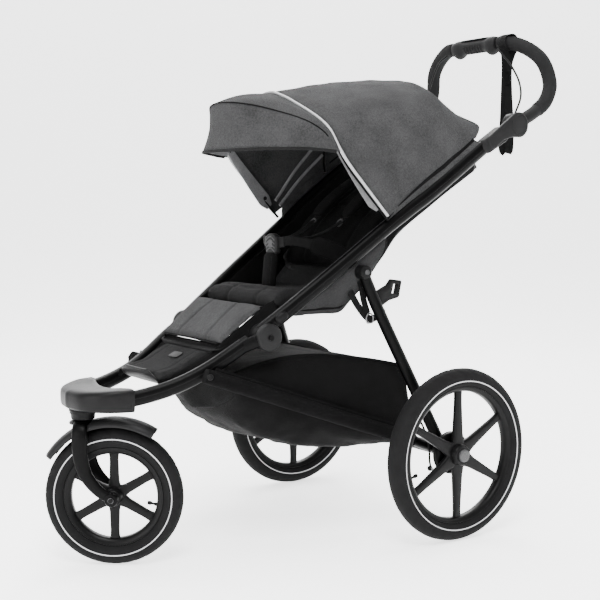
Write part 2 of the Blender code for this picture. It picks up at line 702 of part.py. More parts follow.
def rear_legs(parent):
    """Each leg with its knuckle, axle block and stub axle, and the brake drum with its lever."""
    for side_name, side in SIDES:
        leg = as_mesh(tube(f"rear_leg_{side_name}", smooth_line(mirrored(REAR_LEG, side), 2), LEG_RADIUS, "frame",
                           parent, 4))
        low, high = sorted((side * 0.2680, side * 0.2995))
        block = cylinder(f"axle_block_{side_name}", 0.0210, low, high, AXLE_Y, AXLE_Z, "frame", parent, 24)
        low, high = sorted((side * 0.1962, side * 0.2275))
        knuckle = cylinder(f"leg_knuckle_{side_name}", 0.0160, low, high, LEG_Y, LEG_Z, "frame", parent, 20)
        low, high = sorted((side * 0.2750, side * 0.3525))
        axle = cylinder(f"stub_axle_{side_name}", 0.0060, low, high, AXLE_Y, AXLE_Z, "frame", parent, 16)
        join(smooth(leg), make_cutter(block), make_cutter(knuckle), make_cutter(axle))
        low, high = sorted((side * 0.1800, side * 0.2400))
        pin_bore = cylinder(f"pin_bore_{side_name}", 0.0050 + GAP, low, high, LEG_Y, LEG_Z, "frame", parent, 12)
        cut(leg, make_cutter(pin_bore))
        shift = side * REAR_TRACK
        low, high = sorted((side * 0.3001, side * 0.3210))
        profile = ring_profile(0.0490, 0.0066, low - shift, high - shift)
        drum = turned(f"brake_drum_{side_name}", profile, 28, "black_plastic", parent, (shift, AXLE_Y, AXLE_Z))
        lever = box(f"lever_{side_name}", (0.0090, 0.0080, 0.0560), (side * 0.3060, -0.0480, 0.1850), "steel",
                    parent, (math.radians(10), 0, 0))
        join(drum, make_cutter(lever))


def fold_catch(parent):
    """Storage catch clipped to the left leg: a plate with a rectangular window."""
    outline = [(-0.1480, 0.5400), (-0.1180, 0.5480), (-0.0960, 0.5640), (-0.0880, 0.5800), (-0.0960, 0.5960),
               (-0.1080, 0.5980), (-0.1600, 0.5740)]
    made = as_mesh(plate("fold_catch", outline, 0.2120, 0.2260, "black_plastic", parent))
    window = box("catch_window", (0.03, 0.0140, 0.0220), (0.2190, -0.1080, 0.5760), "frame", parent,
                 (math.radians(25), 0, 0))
    leg = as_mesh(tube("catch_clearance", smooth_line(REAR_LEG, 2), LEG_RADIUS + GAP, "frame", parent, 4))
    return cut(made, make_cutter(window), make_cutter(leg))


# ---------------------------------------------------------------- lower frame and basket


def lower_frame(parent):
    for side_name, side in SIDES:
        line = mirrored([(0.1720, TUBE_Y, TUBE_Z), (0.1860, -0.4800, 0.3790), (0.2250, -0.2600, 0.2980),
                         (0.2480, -0.1000, 0.2400), (0.2500, AXLE_Y, AXLE_Z)], side)
        rail = as_mesh(tube(f"side_tube_{side_name}", smooth_line(line, 3), SIDE_TUBE_RADIUS, "frame", parent, 4))
        low, high = sorted((side * 0.1400, side * 0.2000))
        bore = cylinder(f"tube_bore_{side_name}", 0.0040 + GAP, low, high, TUBE_Y, TUBE_Z, "frame", parent, 12)
        low, high = sorted((side * 0.2000, side * 0.3000))
        seat = cylinder(f"tube_seat_{side_name}", 0.0130 + GAP, low, high, AXLE_Y, AXLE_Z, "frame", parent, 20)
        cut(smooth(rail), make_cutter(bore), make_cutter(seat))
    cylinder("rear_crossbar", 0.0130, -0.2640, 0.2640, AXLE_Y, AXLE_Z, "frame", parent, 20)


def brake_pedal(parent):
    """Parking brake: a collar that turns on the rear crossbar, with a foot plate behind it."""
    collar = turned("brake_pedal", ring_profile(0.0200, 0.0130 + GAP, -0.0300, 0.0300), 24, "grey_plastic",
                    parent, (0, AXLE_Y, AXLE_Z))
    foot = box("pedal_foot", (0.0500, 0.0600, 0.0080), (0, 0.0430, 0.2080), "grey_plastic", parent,
               (math.radians(12), 0, 0))
    return join(collar, make_cutter(foot))


def basket(parent):
    """An open-topped bag between the lower side tubes."""
    stations = (
        # y, half width at the rim, rim height, half width at the tubes, floor half width, floor height
        (-0.4950, 0.1280, 0.3960, 0.1500, 0.0900, 0.3250),
        (-0.4750, 0.1380, 0.4080, 0.1570, 0.1120, 0.2920),
        (-0.4300, 0.1460, 0.4230, 0.1660, 0.1300, 0.2630),
        (-0.3700, 0.1580, 0.4360, 0.1780, 0.1450, 0.2420),
        (-0.2700, 0.1720, 0.4360, 0.1960, 0.1600, 0.2200),
        (-0.1700, 0.1860, 0.4220, 0.2100, 0.1650, 0.2060),
        (-0.0700, 0.1960, 0.3960, 0.2200, 0.1600, 0.1980),
    )
    rows = []
    for y, rim, rim_z, side, floor, floor_z in stations:
        tube_z = TUBE_Z + (AXLE_Z - TUBE_Z) * (y - TUBE_Y) / (AXLE_Y - TUBE_Y)
        half = [Vector((rim, y, rim_z)), Vector(((rim + side) / 2 + 0.004, y, (rim_z + tube_z) / 2)),
                Vector((side, y, tube_z)), Vector(((side + floor) / 2 + 0.008, y, (tube_z + floor_z) / 2)),
                Vector((floor, y, floor_z + 0.004)), Vector((floor / 2, y, floor_z)), Vector((0, y, floor_z))]
        rows.append(half + [Vector((-p.x, p.y, p.z)) for p in reversed(half[:-1])])
    mesh = bpy.data.meshes.new("basket")
    across = len(rows[0])
    points = [point for row in rows for point in row]
    faces = []
    for i in range(len(rows) - 1):
        for j in range(across - 1):
            first = i * across + j
            faces.append((first, first + across, first + across + 1, first + 1))
    faces.append(tuple(range(across)))
    last = (len(rows) - 1) * across
    faces.append(tuple(reversed(range(last, last + across))))
    mesh.from_pydata(points, [], faces)
    made = smooth(add_part("basket", mesh, "black_cloth", parent))
    shell = made.modifiers.new("thickness", "SOLIDIFY")
    shell.thickness = CLOTH
    shell.offset = -1.0
    shell.use_even_offset = False
    return made


# ---------------------------------------------------------------- seat, backrest and harness


def seat_base(parent):
    outline = [(-0.3800, 0.5350), (-0.3830, 0.5560), (-0.3680, 0.5740), (-0.3300, 0.5800), (-0.2600, 0.5720),
               (-0.1700, 0.5720), (-0.1560, 0.5640), (-0.1680, 0.5480), (-0.2170, 0.5300), (-0.3100, 0.5300)]
    made = as_mesh(plate("seat_base", outline, -0.1620, 0.1620, "black_cloth", parent))
    return round_edges(made, 0.004)


def backrest(parent):
    outline = [(-0.1200, 0.6120), (-0.0450, 0.7030), (0.0880, 0.7900), (0.2080, 0.8640), (0.2220, 0.8880),
               (0.2060, 0.9080), (0.0620, 0.8360), (-0.0780, 0.7450), (-0.1480, 0.6500), (-0.1440, 0.6160)]
    made = as_mesh(plate("backrest", outline, -0.1650, 0.1650, "black_cloth", parent))
    return round_edges(made, 0.004)


def strap(name, line, half_width, thickness, slot, parent):
    """A flat band: its line is widened along X and thickened."""
    rows = [[Vector((x - half_width, y, z)) for x, y, z in line], [Vector((x + half_width, y, z)) for x, y, z in line]]
    return sheet(name, rows, thickness, slot, parent, 1.0)


def harness(seat, back):
    for side_name, side in SIDES:
        line = smooth_line([(side * 0.0550, 0.1150, 0.8800), (side * 0.0560, 0.0300, 0.8420),
                            (side * 0.0580, -0.0600, 0.7820), (side * 0.0520, -0.1400, 0.7100),
                            (side * 0.0400, -0.2000, 0.6480)], 3)
        strap(f"shoulder_strap_{side_name}", line, 0.0190, 0.0080, "webbing", back)
    crotch = smooth_line([(0, -0.3000, 0.5840), (0, -0.2960, 0.6100), (0, -0.2900, 0.6400), (0, -0.2870, 0.6560)], 2)
    strap("crotch_strap", crotch, 0.0180, 0.0060, "webbing", seat)
    buckle = box("harness_buckle", (0.0480, 0.0140, 0.0480), BUCKLE, "black_plastic", seat)
    well = box("button_well", (0.0180, 0.0100, 0.0180), (0, BUCKLE[1] - 0.0060, BUCKLE[2]), "black_plastic", seat)
    cut(buckle, make_cutter(well))


def buckle_button(parent):
    """A push button in the buckle's well that stands a little proud of its face."""
    box("buckle_button", (0.0160, 0.0040, 0.0160), (0, BUCKLE[1] - 0.0065, BUCKLE[2]), "grey_plastic", parent)


# ---------------------------------------------------------------- canopy


def canopy_cloth(parent):
    count = 11
    front, ridge, rear = (whole_line(line, count) for line in (CANOPY_FRONT, CANOPY_RIDGE, CANOPY_REAR))
    rows = [front, between(front, ridge, 0.33, (0, 0, 0.006)), between(front, ridge, 0.66, (0, 0, 0.006)), ridge,
            between(ridge, rear, 0.5, (0, 0, 0.003)), rear]
    return sheet("canopy_cloth", rows, CLOTH, "melange", parent, 1.0)


def canopy_visor(parent):
    count = 9
    top = whole_line([(x, y - 0.0040, z) for x, y, z in CANOPY_FRONT[3:]], count)
    brow = whole_line(VISOR_BROW, count)
    edge = whole_line(VISOR_EDGE, count)
    return sheet("canopy_visor", [top, between(top, brow, 0.5, (0, -0.004, 0.012)), brow, edge], CLOTH,
                 "melange", parent, -1.0)


def canopy_bows(parent, fixed):
    """Round bows just under the cloth, and the discs they turn on."""
    inward = 0.965
    front = [(x * inward, y * 0.99 + 0.004, z - 0.009) for x, y, z in CANOPY_FRONT]
    tube("canopy_front_bow", whole_line(front, 12), 0.0035, "frame", parent, 2)
    ridge = [(x * inward, y, z - 0.011) for x, y, z in [(0.2360, 0.0310, 0.8680), *CANOPY_RIDGE[1:]]]
    tube("canopy_rear_bow", whole_line(ridge, 12), 0.0035, "frame", fixed, 2)


# ---------------------------------------------------------------- assembly

clear_scene()
PARTS = new_collection("baby_stroller")
CUTTERS = new_collection("cutters")
MATERIALS = make_materials()

AXLE_FRAME = bpy.data.objects.new("axle_frame", None)
AXLE_FRAME.location = (0, LENGTH_SHIFT, 0)
PARTS.objects.link(AXLE_FRAME)


def on_axle_frame(name, location, turn_z=0.0):
    return pivot(name, location, AXLE_FRAME, turn_z)


front_frame = on_axle_frame("front_frame", (0, 0, 0))
fold_axis = on_axle_frame("fold_axis", (0, FOLD_Y, FOLD_Z))
leg_axis = on_axle_frame("leg_axis", (0, LEG_Y, LEG_Z))
tube_axis = on_axle_frame("tube_axis", (0, TUBE_Y, TUBE_Z))
crossbar_axis = on_axle_frame("crossbar_axis", (0, AXLE_Y, AXLE_Z))
handle_axis = on_axle_frame("handle_axis", (0, GRIP_Y, GRIP_Z))
bar_axis = on_axle_frame("bar_axis", (0, BAR_Y, BAR_Z))
canopy_axis = on_axle_frame("canopy_axis", (0, CANOPY_Y, CANOPY_Z))
recline_axis = on_axle_frame("recline_axis", (0, RECLINE_Y, RECLINE_Z))
swivel_axis = on_axle_frame("swivel_axis", (0, SWIVEL_Y, 0), -FRONT_YAW)
axle_axes = {name: on_axle_frame(f"axle_{name}", (side * REAR_TRACK, AXLE_Y, AXLE_Z)) for name, side in SIDES}

front_casting(front_frame)
lower_rails(front_frame)
fold_hubs(front_frame)
footrest(front_frame)
calf_pad(front_frame)
swivel_housing(front_frame)

fork(swivel_axis)
fender(swivel_axis)
wheel("front", swivel_axis, (0, SWIVEL_Y + TRAIL, FRONT_RADIUS), FRONT_RADIUS, 0.0200, -0.0310, 0.0310, 0.0060)

HINGE_TOOLS = {
    name: make_cutter(handle_hinge_tool(name, side, GAP, "frame", fold_axis)) for name, side in SIDES
}
for hinge_tool in HINGE_TOOLS.values():
    hinge_tool.name = hinge_tool.name + "_tool"
upper_rails(fold_axis)
handle_hinges(fold_axis)
seat_base(fold_axis)
backrest(recline_axis)
harness(fold_axis, recline_axis)
buckle_button(fold_axis)
handlebar(handle_axis)
brake_cables(handle_axis)
wrist_strap(handle_axis)
brake_grip(bar_axis)
rear_legs(leg_axis)
fold_catch(leg_axis)
rear_wheels(axle_axes)
lower_frame(tube_axis)
brake_pedal(crossbar_axis)
basket(tube_axis)
canopy_cloth(fold_axis)
canopy_visor(canopy_axis)
canopy_bows(canopy_axis, fold_axis)
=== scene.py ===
"""Jogging stroller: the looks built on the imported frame.

Positions are written in the axle frame (y = 0 at the rear axle, z = 0 on the floor, +X the child's left), and
at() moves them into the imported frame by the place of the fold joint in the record. Lengths are in metres, except
inside mm().
"""

import json
import math

import bmesh
import bpy
import numpy as np
from mathutils import Matrix, Vector, noise


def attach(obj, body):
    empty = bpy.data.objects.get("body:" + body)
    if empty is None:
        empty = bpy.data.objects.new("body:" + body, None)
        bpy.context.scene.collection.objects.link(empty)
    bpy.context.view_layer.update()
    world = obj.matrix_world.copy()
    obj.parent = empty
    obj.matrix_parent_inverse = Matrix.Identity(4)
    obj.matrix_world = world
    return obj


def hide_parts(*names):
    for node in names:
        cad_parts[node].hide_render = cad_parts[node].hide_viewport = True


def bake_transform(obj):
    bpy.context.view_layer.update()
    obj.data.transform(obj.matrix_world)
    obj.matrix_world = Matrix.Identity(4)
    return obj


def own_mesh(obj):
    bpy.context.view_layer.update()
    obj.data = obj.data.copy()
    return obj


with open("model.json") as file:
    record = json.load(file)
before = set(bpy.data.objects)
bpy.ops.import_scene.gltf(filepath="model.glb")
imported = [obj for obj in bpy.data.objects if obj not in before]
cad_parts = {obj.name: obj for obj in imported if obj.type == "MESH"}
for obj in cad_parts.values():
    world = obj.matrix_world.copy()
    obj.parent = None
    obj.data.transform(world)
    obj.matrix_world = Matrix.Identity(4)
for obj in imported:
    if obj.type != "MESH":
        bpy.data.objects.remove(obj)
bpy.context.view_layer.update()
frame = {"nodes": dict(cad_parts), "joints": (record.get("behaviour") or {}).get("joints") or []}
JOINTS = {j["name"]: j for j in frame["joints"]}
SHIFT = np.array([0.0, JOINTS["frame_fold"]["pos_m"][1] + 0.4241, 0.0])
NODES = frame["nodes"]
SIDES = (("left", 1), ("right", -1))


def joint_at(name):
    """Where a joint's axis lies, in the axle frame."""
    return np.array(JOINTS[name]["pos_m"]) - SHIFT


HUB = joint_at("frame_fold")
LEG_TOP = joint_at("leg_fold")
GRIP = joint_at("handlebar_angle")
BAR = joint_at("brake_twist")
TUBE_END = joint_at("tube_fold")
FRONT_AXLE = joint_at("front_wheel_spin")
FRONT_DIR = np.array(JOINTS["front_wheel_spin"]["axis"])
REAR_AXLE = joint_at("rear_wheel_left_spin")
SWIVEL = joint_at("fork_swivel")

# ---------------------------------------------------------------- materials


class Nodes:
    """A short way to write a node tree round a Principled shader."""

    def __init__(self, name, **values):
        self.material = bpy.data.materials.new(name)
        self.material.use_nodes = True
        self.tree = self.material.node_tree
        self.shader = self.tree.nodes["Principled BSDF"]
        for key, value in values.items():
            self.shader.inputs[key.replace("_", " ")].default_value = value
        self.coords = self.add("ShaderNodeTexCoord").outputs["Object"]

    def add(self, kind, links=None, **settings):
        node = self.tree.nodes.new(kind)
        for key, value in settings.items():
            if hasattr(node, key):
                setattr(node, key, value)
            else:
                node.inputs[key.replace("_", " ")].default_value = value
        for key, source in (links or {}).items():
            self.tree.links.new(source, node.inputs[key])
        return node

    def noise(self, scale, detail=3.0, rough=0.55, stretch=(1, 1, 1)):
        mapping = self.add("ShaderNodeMapping", {"Vector": self.coords})
        mapping.inputs["Scale"].default_value = stretch
        made = self.add("ShaderNodeTexNoise", {"Vector": mapping.outputs[0]}, Scale=scale, Detail=detail)
        made.inputs["Roughness"].default_value = rough
        return made.outputs["Fac"]

    def wave(self, scale, turn=(0, 0, 0), distortion=0.0, bands="X"):
        mapping = self.add("ShaderNodeMapping", {"Vector": self.coords})
        mapping.inputs["Rotation"].default_value = [math.radians(a) for a in turn]
        made = self.add("ShaderNodeTexWave", {"Vector": mapping.outputs[0]}, Scale=scale, Distortion=distortion,
            bands_direction=bands)
        return made.outputs["Fac"]

    def math(self, operation, first, second):
        node = self.add("ShaderNodeMath", operation=operation)
        for slot, value in enumerate((first, second)):
            if isinstance(value, (int, float)):
                node.inputs[slot].default_value = value
            else:
                self.tree.links.new(value, node.inputs[slot])
        return node.outputs[0]

    def ramp(self, factor, *stops):
        node = self.add("ShaderNodeValToRGB", {"Fac": factor})
        elements = node.color_ramp.elements
        while len(elements) < len(stops):
            elements.new(0.5)
        for element, (place, colour) in zip(elements, stops):
            element.position = place
            element.color = (*colour, 1) if len(colour) == 3 else colour
        return node.outputs["Color"]

    def mix(self, factor, first, second):
        node = self.add("ShaderNodeMix", data_type="RGBA")
        for slot, value in ((0, factor), (6, first), (7, second)):
            if isinstance(value, (int, float, tuple)):
                node.inputs[slot].default_value = value
            else:
                self.tree.links.new(value, node.inputs[slot])
        return node.outputs[2]

    def colour(self, source):
        self.tree.links.new(source, self.shader.inputs["Base Color"])
        return self

    def rough(self, factor, low, high):
        node = self.add("ShaderNodeMapRange", {"Value": factor})
        node.inputs["To Min"].default_value = low
        node.inputs["To Max"].default_value = high
        self.tree.links.new(node.outputs[0], self.shader.inputs["Roughness"])
        return self

    def bump(self, height, distance, strength=1.0):
        node = self.add("ShaderNodeBump", {"Height": height}, Distance=distance, Strength=strength)
        self.tree.links.new(node.outputs[0], self.shader.inputs["Normal"])
        return self


def grey(value):
    return (value, value, value * 1.02)


def cloth(name, dark, light, threads=900.0, fleck=260.0, sheen=0.03, rough=(0.82, 0.96)):
    """A plain weave with heathered yarn: crossed threads, flecks and a slow unevenness."""
    n = Nodes(name, Sheen_Weight=sheen, Sheen_Roughness=0.5, Specular_IOR_Level=0.04)
    over = n.wave(threads, (0, 0, 45))
    under = n.wave(threads, (45, 0, 0), bands="Z")
    weave = n.math("MULTIPLY", over, under)
    flecks = n.noise(fleck, 4.0, 0.7, (1, 1, 1))
    slow = n.noise(14.0, 3.0, 0.6)
    tone = n.math("ADD", n.math("MULTIPLY", flecks, 0.62), n.math("MULTIPLY", slow, 0.38))
    base = n.ramp(tone, (0.36, grey(dark)), (0.64, grey(light)))
    n.colour(n.mix(n.math("MULTIPLY", weave, 0.3), base, (*grey(light * 1.15), 1)))
    n.rough(tone, *rough)
    return n.bump(n.math("ADD", weave, n.math("MULTIPLY", flecks, 0.6)), 0.0003).material


def mesh_cloth(name, hole, thread):
    """Open sports mesh: round holes in a fine knit, with the holes painted darker as painted shade of the dark inside
    seen through them.
    """
    n = Nodes(name, Sheen_Weight=0.005, Specular_IOR_Level=0.08)
    cells = n.add("ShaderNodeTexVoronoi", {"Vector": n.coords}, Scale=420.0, Randomness=0.12)
    flecks = n.noise(90.0)
    # The hole colour is painted shade: it stands in for the shaded dark seen through the open mesh.
    base = n.ramp(cells.outputs["Distance"], (0.22, grey(hole)), (0.42, grey(thread)))
    n.colour(n.mix(n.math("MULTIPLY", flecks, 0.35), base, (*grey(thread * 1.4), 1)))
    n.rough(flecks, 0.65, 0.9)
    return n.bump(cells.outputs["Distance"], 0.0005).material


def webbing(name, dark, light):
    n = Nodes(name, Sheen_Weight=0.005, Specular_IOR_Level=0.08)
    ribs = n.wave(700.0, (0, 0, 0), 0.4)
    cross = n.wave(420.0, (0, 0, 0), 0.4, "Z")
    weave = n.math("MAXIMUM", ribs, cross)
    n.colour(n.ramp(n.math("MULTIPLY", weave, n.noise(60.0)), (0.2, grey(dark)), (0.7, grey(light))))
    n.rough(weave, 0.6, 0.85)
    return n.bump(weave, 0.0004).material


def plastic(name, value, low=0.38, high=0.56):
    """Moulded plastic: fine spark-eroded grain and faint rubbed patches."""
    n = Nodes(name, Specular_IOR_Level=0.08)
    grains = n.noise(900.0, 2.0)
    rubbed = n.noise(22.0, 5.0, 0.6)
    n.colour(n.ramp(rubbed, (0.35, grey(value)), (0.75, grey(value * 1.35))))
    n.rough(rubbed, low, high)
    return n.bump(grains, 0.00012).material


def powder_coat(name, value):
    n = Nodes(name, Metallic=0.6, Specular_IOR_Level=0.12)
    orange = n.noise(1400.0, 2.0)
    slow = n.noise(9.0, 4.0, 0.6)
    n.colour(n.ramp(slow, (0.3, grey(value)), (0.75, grey(value * 1.5))))
    n.rough(n.math("ADD", n.math("MULTIPLY", orange, 0.4), n.math("MULTIPLY", slow, 0.6)), 0.32, 0.48)
    return n.bump(orange, 0.00008).material


def rubber(name, value, speckle=700.0, rough=(0.72, 0.92), relief=0.0002):
    n = Nodes(name, Specular_IOR_Level=0.09)
    fine = n.noise(speckle, 3.0)
    dust = n.noise(26.0, 6.0, 0.65)
    n.colour(n.ramp(n.math("ADD", n.math("MULTIPLY", fine, 0.35), n.math("MULTIPLY", dust, 0.65)),
        (0.38, grey(value)), (0.62, grey(value * 1.6))))
    n.rough(dust, *rough)
    return n.bump(fine, relief).material


def brushed(name, value, low=0.22, high=0.42, metallic=1.0):
    n = Nodes(name, Metallic=metallic)
    lines = n.noise(260.0, 3.0, 0.6, (1, 1, 12))
    n.colour(n.ramp(lines, (0.3, grey(value * 0.75)), (0.7, grey(value))))
    n.rough(lines, low, high)
    return n.bump(lines, 0.00005).material


def reflective(name, value):
    """Retro-reflective tape: pale grey with fine glass-bead sparkle."""
    n = Nodes(name, Specular_IOR_Level=0.6)
    beads = n.noise(1500.0, 2.0)
    n.colour(n.ramp(beads, (0.35, grey(value * 0.8)), (0.65, grey(value))))
    n.rough(beads, 0.32, 0.55)
    return n.bump(beads, 0.0001).material


MAT = {"melange": cloth("melange_cloth", 0.015, 0.043), "lining": cloth("lining_cloth", 0.085, 0.15),
    "pad": cloth("pad_cloth", 0.018, 0.044), "belly": cloth("belly_cloth", 0.014, 0.03, threads=700, sheen=0.02),
    "charcoal": cloth("charcoal_cloth", 0.0045, 0.012, threads=700, sheen=0.02),
    "black": cloth("black_cloth", 0.0016, 0.0042, threads=700, sheen=0.006),
    "ripstop": cloth("basket_cloth", 0.0014, 0.0036, threads=600, sheen=0.008, rough=(0.6, 0.8)),
    "mesh": mesh_cloth("black_mesh", 0.0012, 0.0045), "webbing": webbing("black_webbing", 0.0018, 0.0065),
    "frame": powder_coat("frame_coat", 0.0018), "rail": powder_coat("rail_coat", 0.0018),
    "hub": plastic("housing_plastic", 0.0085, 0.36, 0.52), "cast": plastic("casting_plastic", 0.0052, 0.3, 0.46),
    "plastic": plastic("black_plastic", 0.0035), "rim": plastic("rim_plastic", 0.0032, 0.28, 0.42),
    "fender": plastic("fender_plastic", 0.0095, 0.34, 0.5), "cap": brushed("cap_metal", 0.055, 0.36, 0.5, 0.4),
    "steel": brushed("bright_steel", 0.2), "bushing": plastic("bushing_plastic", 0.04, 0.3, 0.42),
    "tyre": rubber("tyre_rubber", 0.0045), "foam": rubber("grip_foam", 0.0075, 900.0, (0.85, 0.97), 0.0005),
    "grip": rubber("grip_rubber", 0.0065, 900.0, (0.5, 0.7), 0.0003), "glow": reflective("reflective_tape", 0.5),
    "pipe": reflective("reflective_piping", 0.34), "thread": cloth("thread", 0.012, 0.022, threads=2000, fleck=900)}

# ---------------------------------------------------------------- shapes


def at(points):
    return np.asarray(points, float) + SHIFT


def mm(points):
    """Points written in millimetres."""
    return np.array(points, float) / 1000


def flip(points, side):
    out = np.array(points, float)
    out[..., 0] *= side
    return out


def spline(points, count):
    """count points, evenly spaced, on a Catmull-Rom line through the given ones."""
    p = np.asarray(points, float)
    p = np.vstack([2 * p[0] - p[1], p, 2 * p[-1] - p[-2]])
    out = []
    for i in range(1, len(p) - 2):
        t = np.linspace(0, 1, 24, endpoint=False)[:, None]
        a, b, c, d = p[i - 1 : i + 3]
        out.append(0.5 * (2 * b + (c - a) * t + (2 * a - 5 * b + 4 * c - d) * t**2 + (3 * b - a - 3 * c + d) * t**3))
    out = np.vstack([*out, p[-2][None]])
    along = np.concatenate([[0], np.cumsum(np.linalg.norm(np.diff(out, axis=0), axis=1))])
    goal = np.linspace(0, along[-1], count)
    return np.stack([np.interp(goal, along, out[:, k]) for k in range(out.shape[1])], 1)


def smooth_rows(rows, count):
    """Rows of equally many points, turned into count rows on smooth lines through them."""
    rows = np.asarray(rows, float)
    m = len(rows)
    p = np.concatenate([2 * rows[:1] - rows[1:2], rows, 2 * rows[-1:] - rows[-2:-1]])
    out = []
    for s in np.linspace(0, m - 1, count):
        i = min(int(s), m - 2)
        t = s - i
        a, b, c, d = p[i : i + 4]
        out.append(0.5 * (2 * b + (c - a) * t + (2 * a - 5 * b + 4 * c - d) * t**2 + (3 * b - a - 3 * c + d) * t**3))
    return np.array(out)


def whole(half, count):
    """A left half line that ends on the middle plane, carried over to the right."""
    half = np.asarray(half, float)
    return spline(np.vstack([half, flip(half[:-1][::-1], -1)]), 2 * count - 1)


def make(name, verts, faces, mat, body=None, slot=None, replaces=(), sharp=40):
    mesh = bpy.data.meshes.new(name)
    mesh.from_pydata([tuple(map(float, v)) for v in at(verts)], [], faces)
    mesh.validate()
    shape = bmesh.new()
    shape.from_mesh(mesh)
    bmesh.ops.remove_doubles(shape, verts=shape.verts, dist=1e-6)
    if all(len(e.link_faces) == 2 for e in shape.edges):
        bmesh.ops.recalc_face_normals(shape, faces=shape.faces)
    shape.to_mesh(mesh)
    shape.free()
    mesh.shade_smooth()
    mesh.set_sharp_from_angle(angle=math.radians(sharp))
    obj = bpy.data.objects.new(name, mesh)
    mesh.materials.append(MAT[mat])
    bpy.context.scene.collection.objects.link(obj)
    if body:
        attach(obj, body)
    if replaces:
        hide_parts(*replaces)
    return obj


def coat(node, mat):
    """Give a CAD piece that stays one of the scene's materials."""
    NODES[node].data.materials.clear()
    NODES[node].data.materials.append(MAT[mat])


def ring_faces(rings, around, closed=False, caps=True):
    faces = []
    for i in range(rings if closed else rings - 1):
        for j in range(around):
            a, b = i * around, ((i + 1) % rings) * around
            k = (j + 1) % around
            faces.append((a + j, a + k, b + k, b + j))
    if caps and not closed:
        faces.append(tuple(reversed(range(around))))
        faces.append(tuple(range((rings - 1) * around, rings * around)))
    return faces


def skin(rings, closed=False, caps=True):
    """The points and faces of rings that follow one another."""
    rings = np.asarray(rings, float)
    return rings.reshape(-1, 3), ring_faces(len(rings), rings.shape[1], closed, caps)


def full_turn(count):
    return np.linspace(0, 2 * np.pi, count, endpoint=False)


def oval(half_width, half_height, power=2.0, count=24):
    t = full_turn(count)
    c, s = np.cos(t), np.sin(t)
    return np.stack([half_width * np.sign(c) * np.abs(c) ** (2 / power),
        half_height * np.sign(s) * np.abs(s) ** (2 / power)], 1)


def sweep_points(path, section, scale=None, up=(0, 0, 1), closed=False):
    """Rings of a section carried along a path. up=None carries the frame along without twist."""
    p = np.asarray(path, float)
    ends = (np.roll(p, -1, 0) - np.roll(p, 1, 0)) if closed else np.gradient(p, axis=0)
    t = ends / np.linalg.norm(ends, axis=1)[:, None]
    rings = []
    side = None
    for i in range(len(p)):
        if up is not None:
            side = np.cross(t[i], up)
        elif side is None:
            side = np.cross(t[i], (0.03, 0.1, 1.0) if abs(t[i][2]) < 0.9 else (1.0, 0.1, 0.03))
        else:
            side = side - t[i] * (side @ t[i])
        side = side / np.linalg.norm(side)
        high = np.cross(side, t[i])
        s = section[i] if np.ndim(section) == 3 else section
        k = 1.0 if scale is None else scale[i]
        rings.append(p[i] + k * (s[:, :1] * side + s[:, 1:] * high))
    return np.array(rings)


def sweep(name, path, section, mat, body, scale=None, up=(0, 0, 1), closed=False, **more):
    return make(name, *skin(sweep_points(path, section, scale, up, closed), closed), mat, body, **more)


def tube(name, path, radius, mat, body, count=16, **more):
    return sweep(name, path, oval(radius, radius, 2, count), mat, body, up=None, **more)


def axes_for(direction):
    d = np.asarray(direction, float)
    d = d / np.linalg.norm(d)
    u = np.cross((0, 0, 1), d)
    u = u / np.linalg.norm(u)
    return d, u, np.cross(d, u)


def turned_points(profile, centre, direction, count=64):
    """Rings of (radius, height) points turned about an axis."""
    d, u, v = axes_for(direction)
    t = full_turn(count)
    out = np.cos(t)[:, None] * u + np.sin(t)[:, None] * v
    rings = []
    for r, h in profile:
        rings.append(np.asarray(centre) + h * d + r * out)
    return np.array(rings)


def turned(name, profile, mat, body, centre, direction, count, **more):
    return make(name, *skin(turned_points(profile, centre, direction, count)), mat, body, **more)


def join_points(*shapes):
    """Several (points, faces) shapes as one."""
    verts, faces, base = [], [], 0
    for points, more in shapes:
        points = np.asarray(points, float).reshape(-1, 3)
        verts.append(points)
        faces.extend(tuple(i + base for i in f) for f in more)
        base += len(points)
    return np.vstack(verts), faces


def pillow(outline, layers, axis="x", origin=(0, 0, 0)):
    """A flat outline with rounded rims: (height, inset) layers along an axis. Outlines run in (y, z) or (x, y)."""
    o = np.asarray(outline, float)
    along = np.roll(o, -1, 0) - np.roll(o, 1, 0)
    normal = np.stack([along[:, 1], -along[:, 0]], 1)
    normal /= np.linalg.norm(normal, axis=1)[:, None]
    area = 0.5 * np.sum(o[:, 0] * np.roll(o[:, 1], -1) - np.roll(o[:, 0], -1) * o[:, 1])
    inward = -normal if area > 0 else normal
    rings = []
    for height, inset in layers:
        q = o + inward * inset
        h = np.full(len(q), height)
        rings.append(np.stack([h, q[:, 0], q[:, 1]] if axis == "x" else [q[:, 0], q[:, 1], h], 1))
    return skin(np.array(rings) + np.asarray(origin))


def plate(name, outline, layers, mat, body, side=1, **more):
    """A flat outline in (y, z) with rounded rims, on the left or carried over to the right."""
    verts, faces = pillow(outline, layers)
    return make(name, flip(verts, side), faces, mat, body, **more)


def rounded(low, high, radius):
    """(height, inset) layers of a plate with rounded rims."""
    turn = np.radians([0, 22, 45, 68, 90])
    bottom = [(low + radius * (1 - math.sin(a)), radius * (1 - math.cos(a))) for a in turn[::-1]]
    top = [(high - radius * (1 - math.sin(a)), radius * (1 - math.cos(a))) for a in turn]
    return bottom + top


def grid_faces(rows, columns):
    return [(i * columns + j, i * columns + j + 1, (i + 1) * columns + j + 1, (i + 1) * columns + j)
        for i in range(rows - 1) for j in range(columns - 1)]


def sheet_grid(name, rows, mat, body=None, thickness=0.0012, offset=0.0, **more):
    rows = np.asarray(rows, float)
    obj = make(name, rows.reshape(-1, 3), grid_faces(*rows.shape[:2]), mat, body, sharp=180, **more)
    solid = obj.modifiers.new("thickness", "SOLIDIFY")
    solid.thickness = thickness
    solid.offset = offset
    return obj


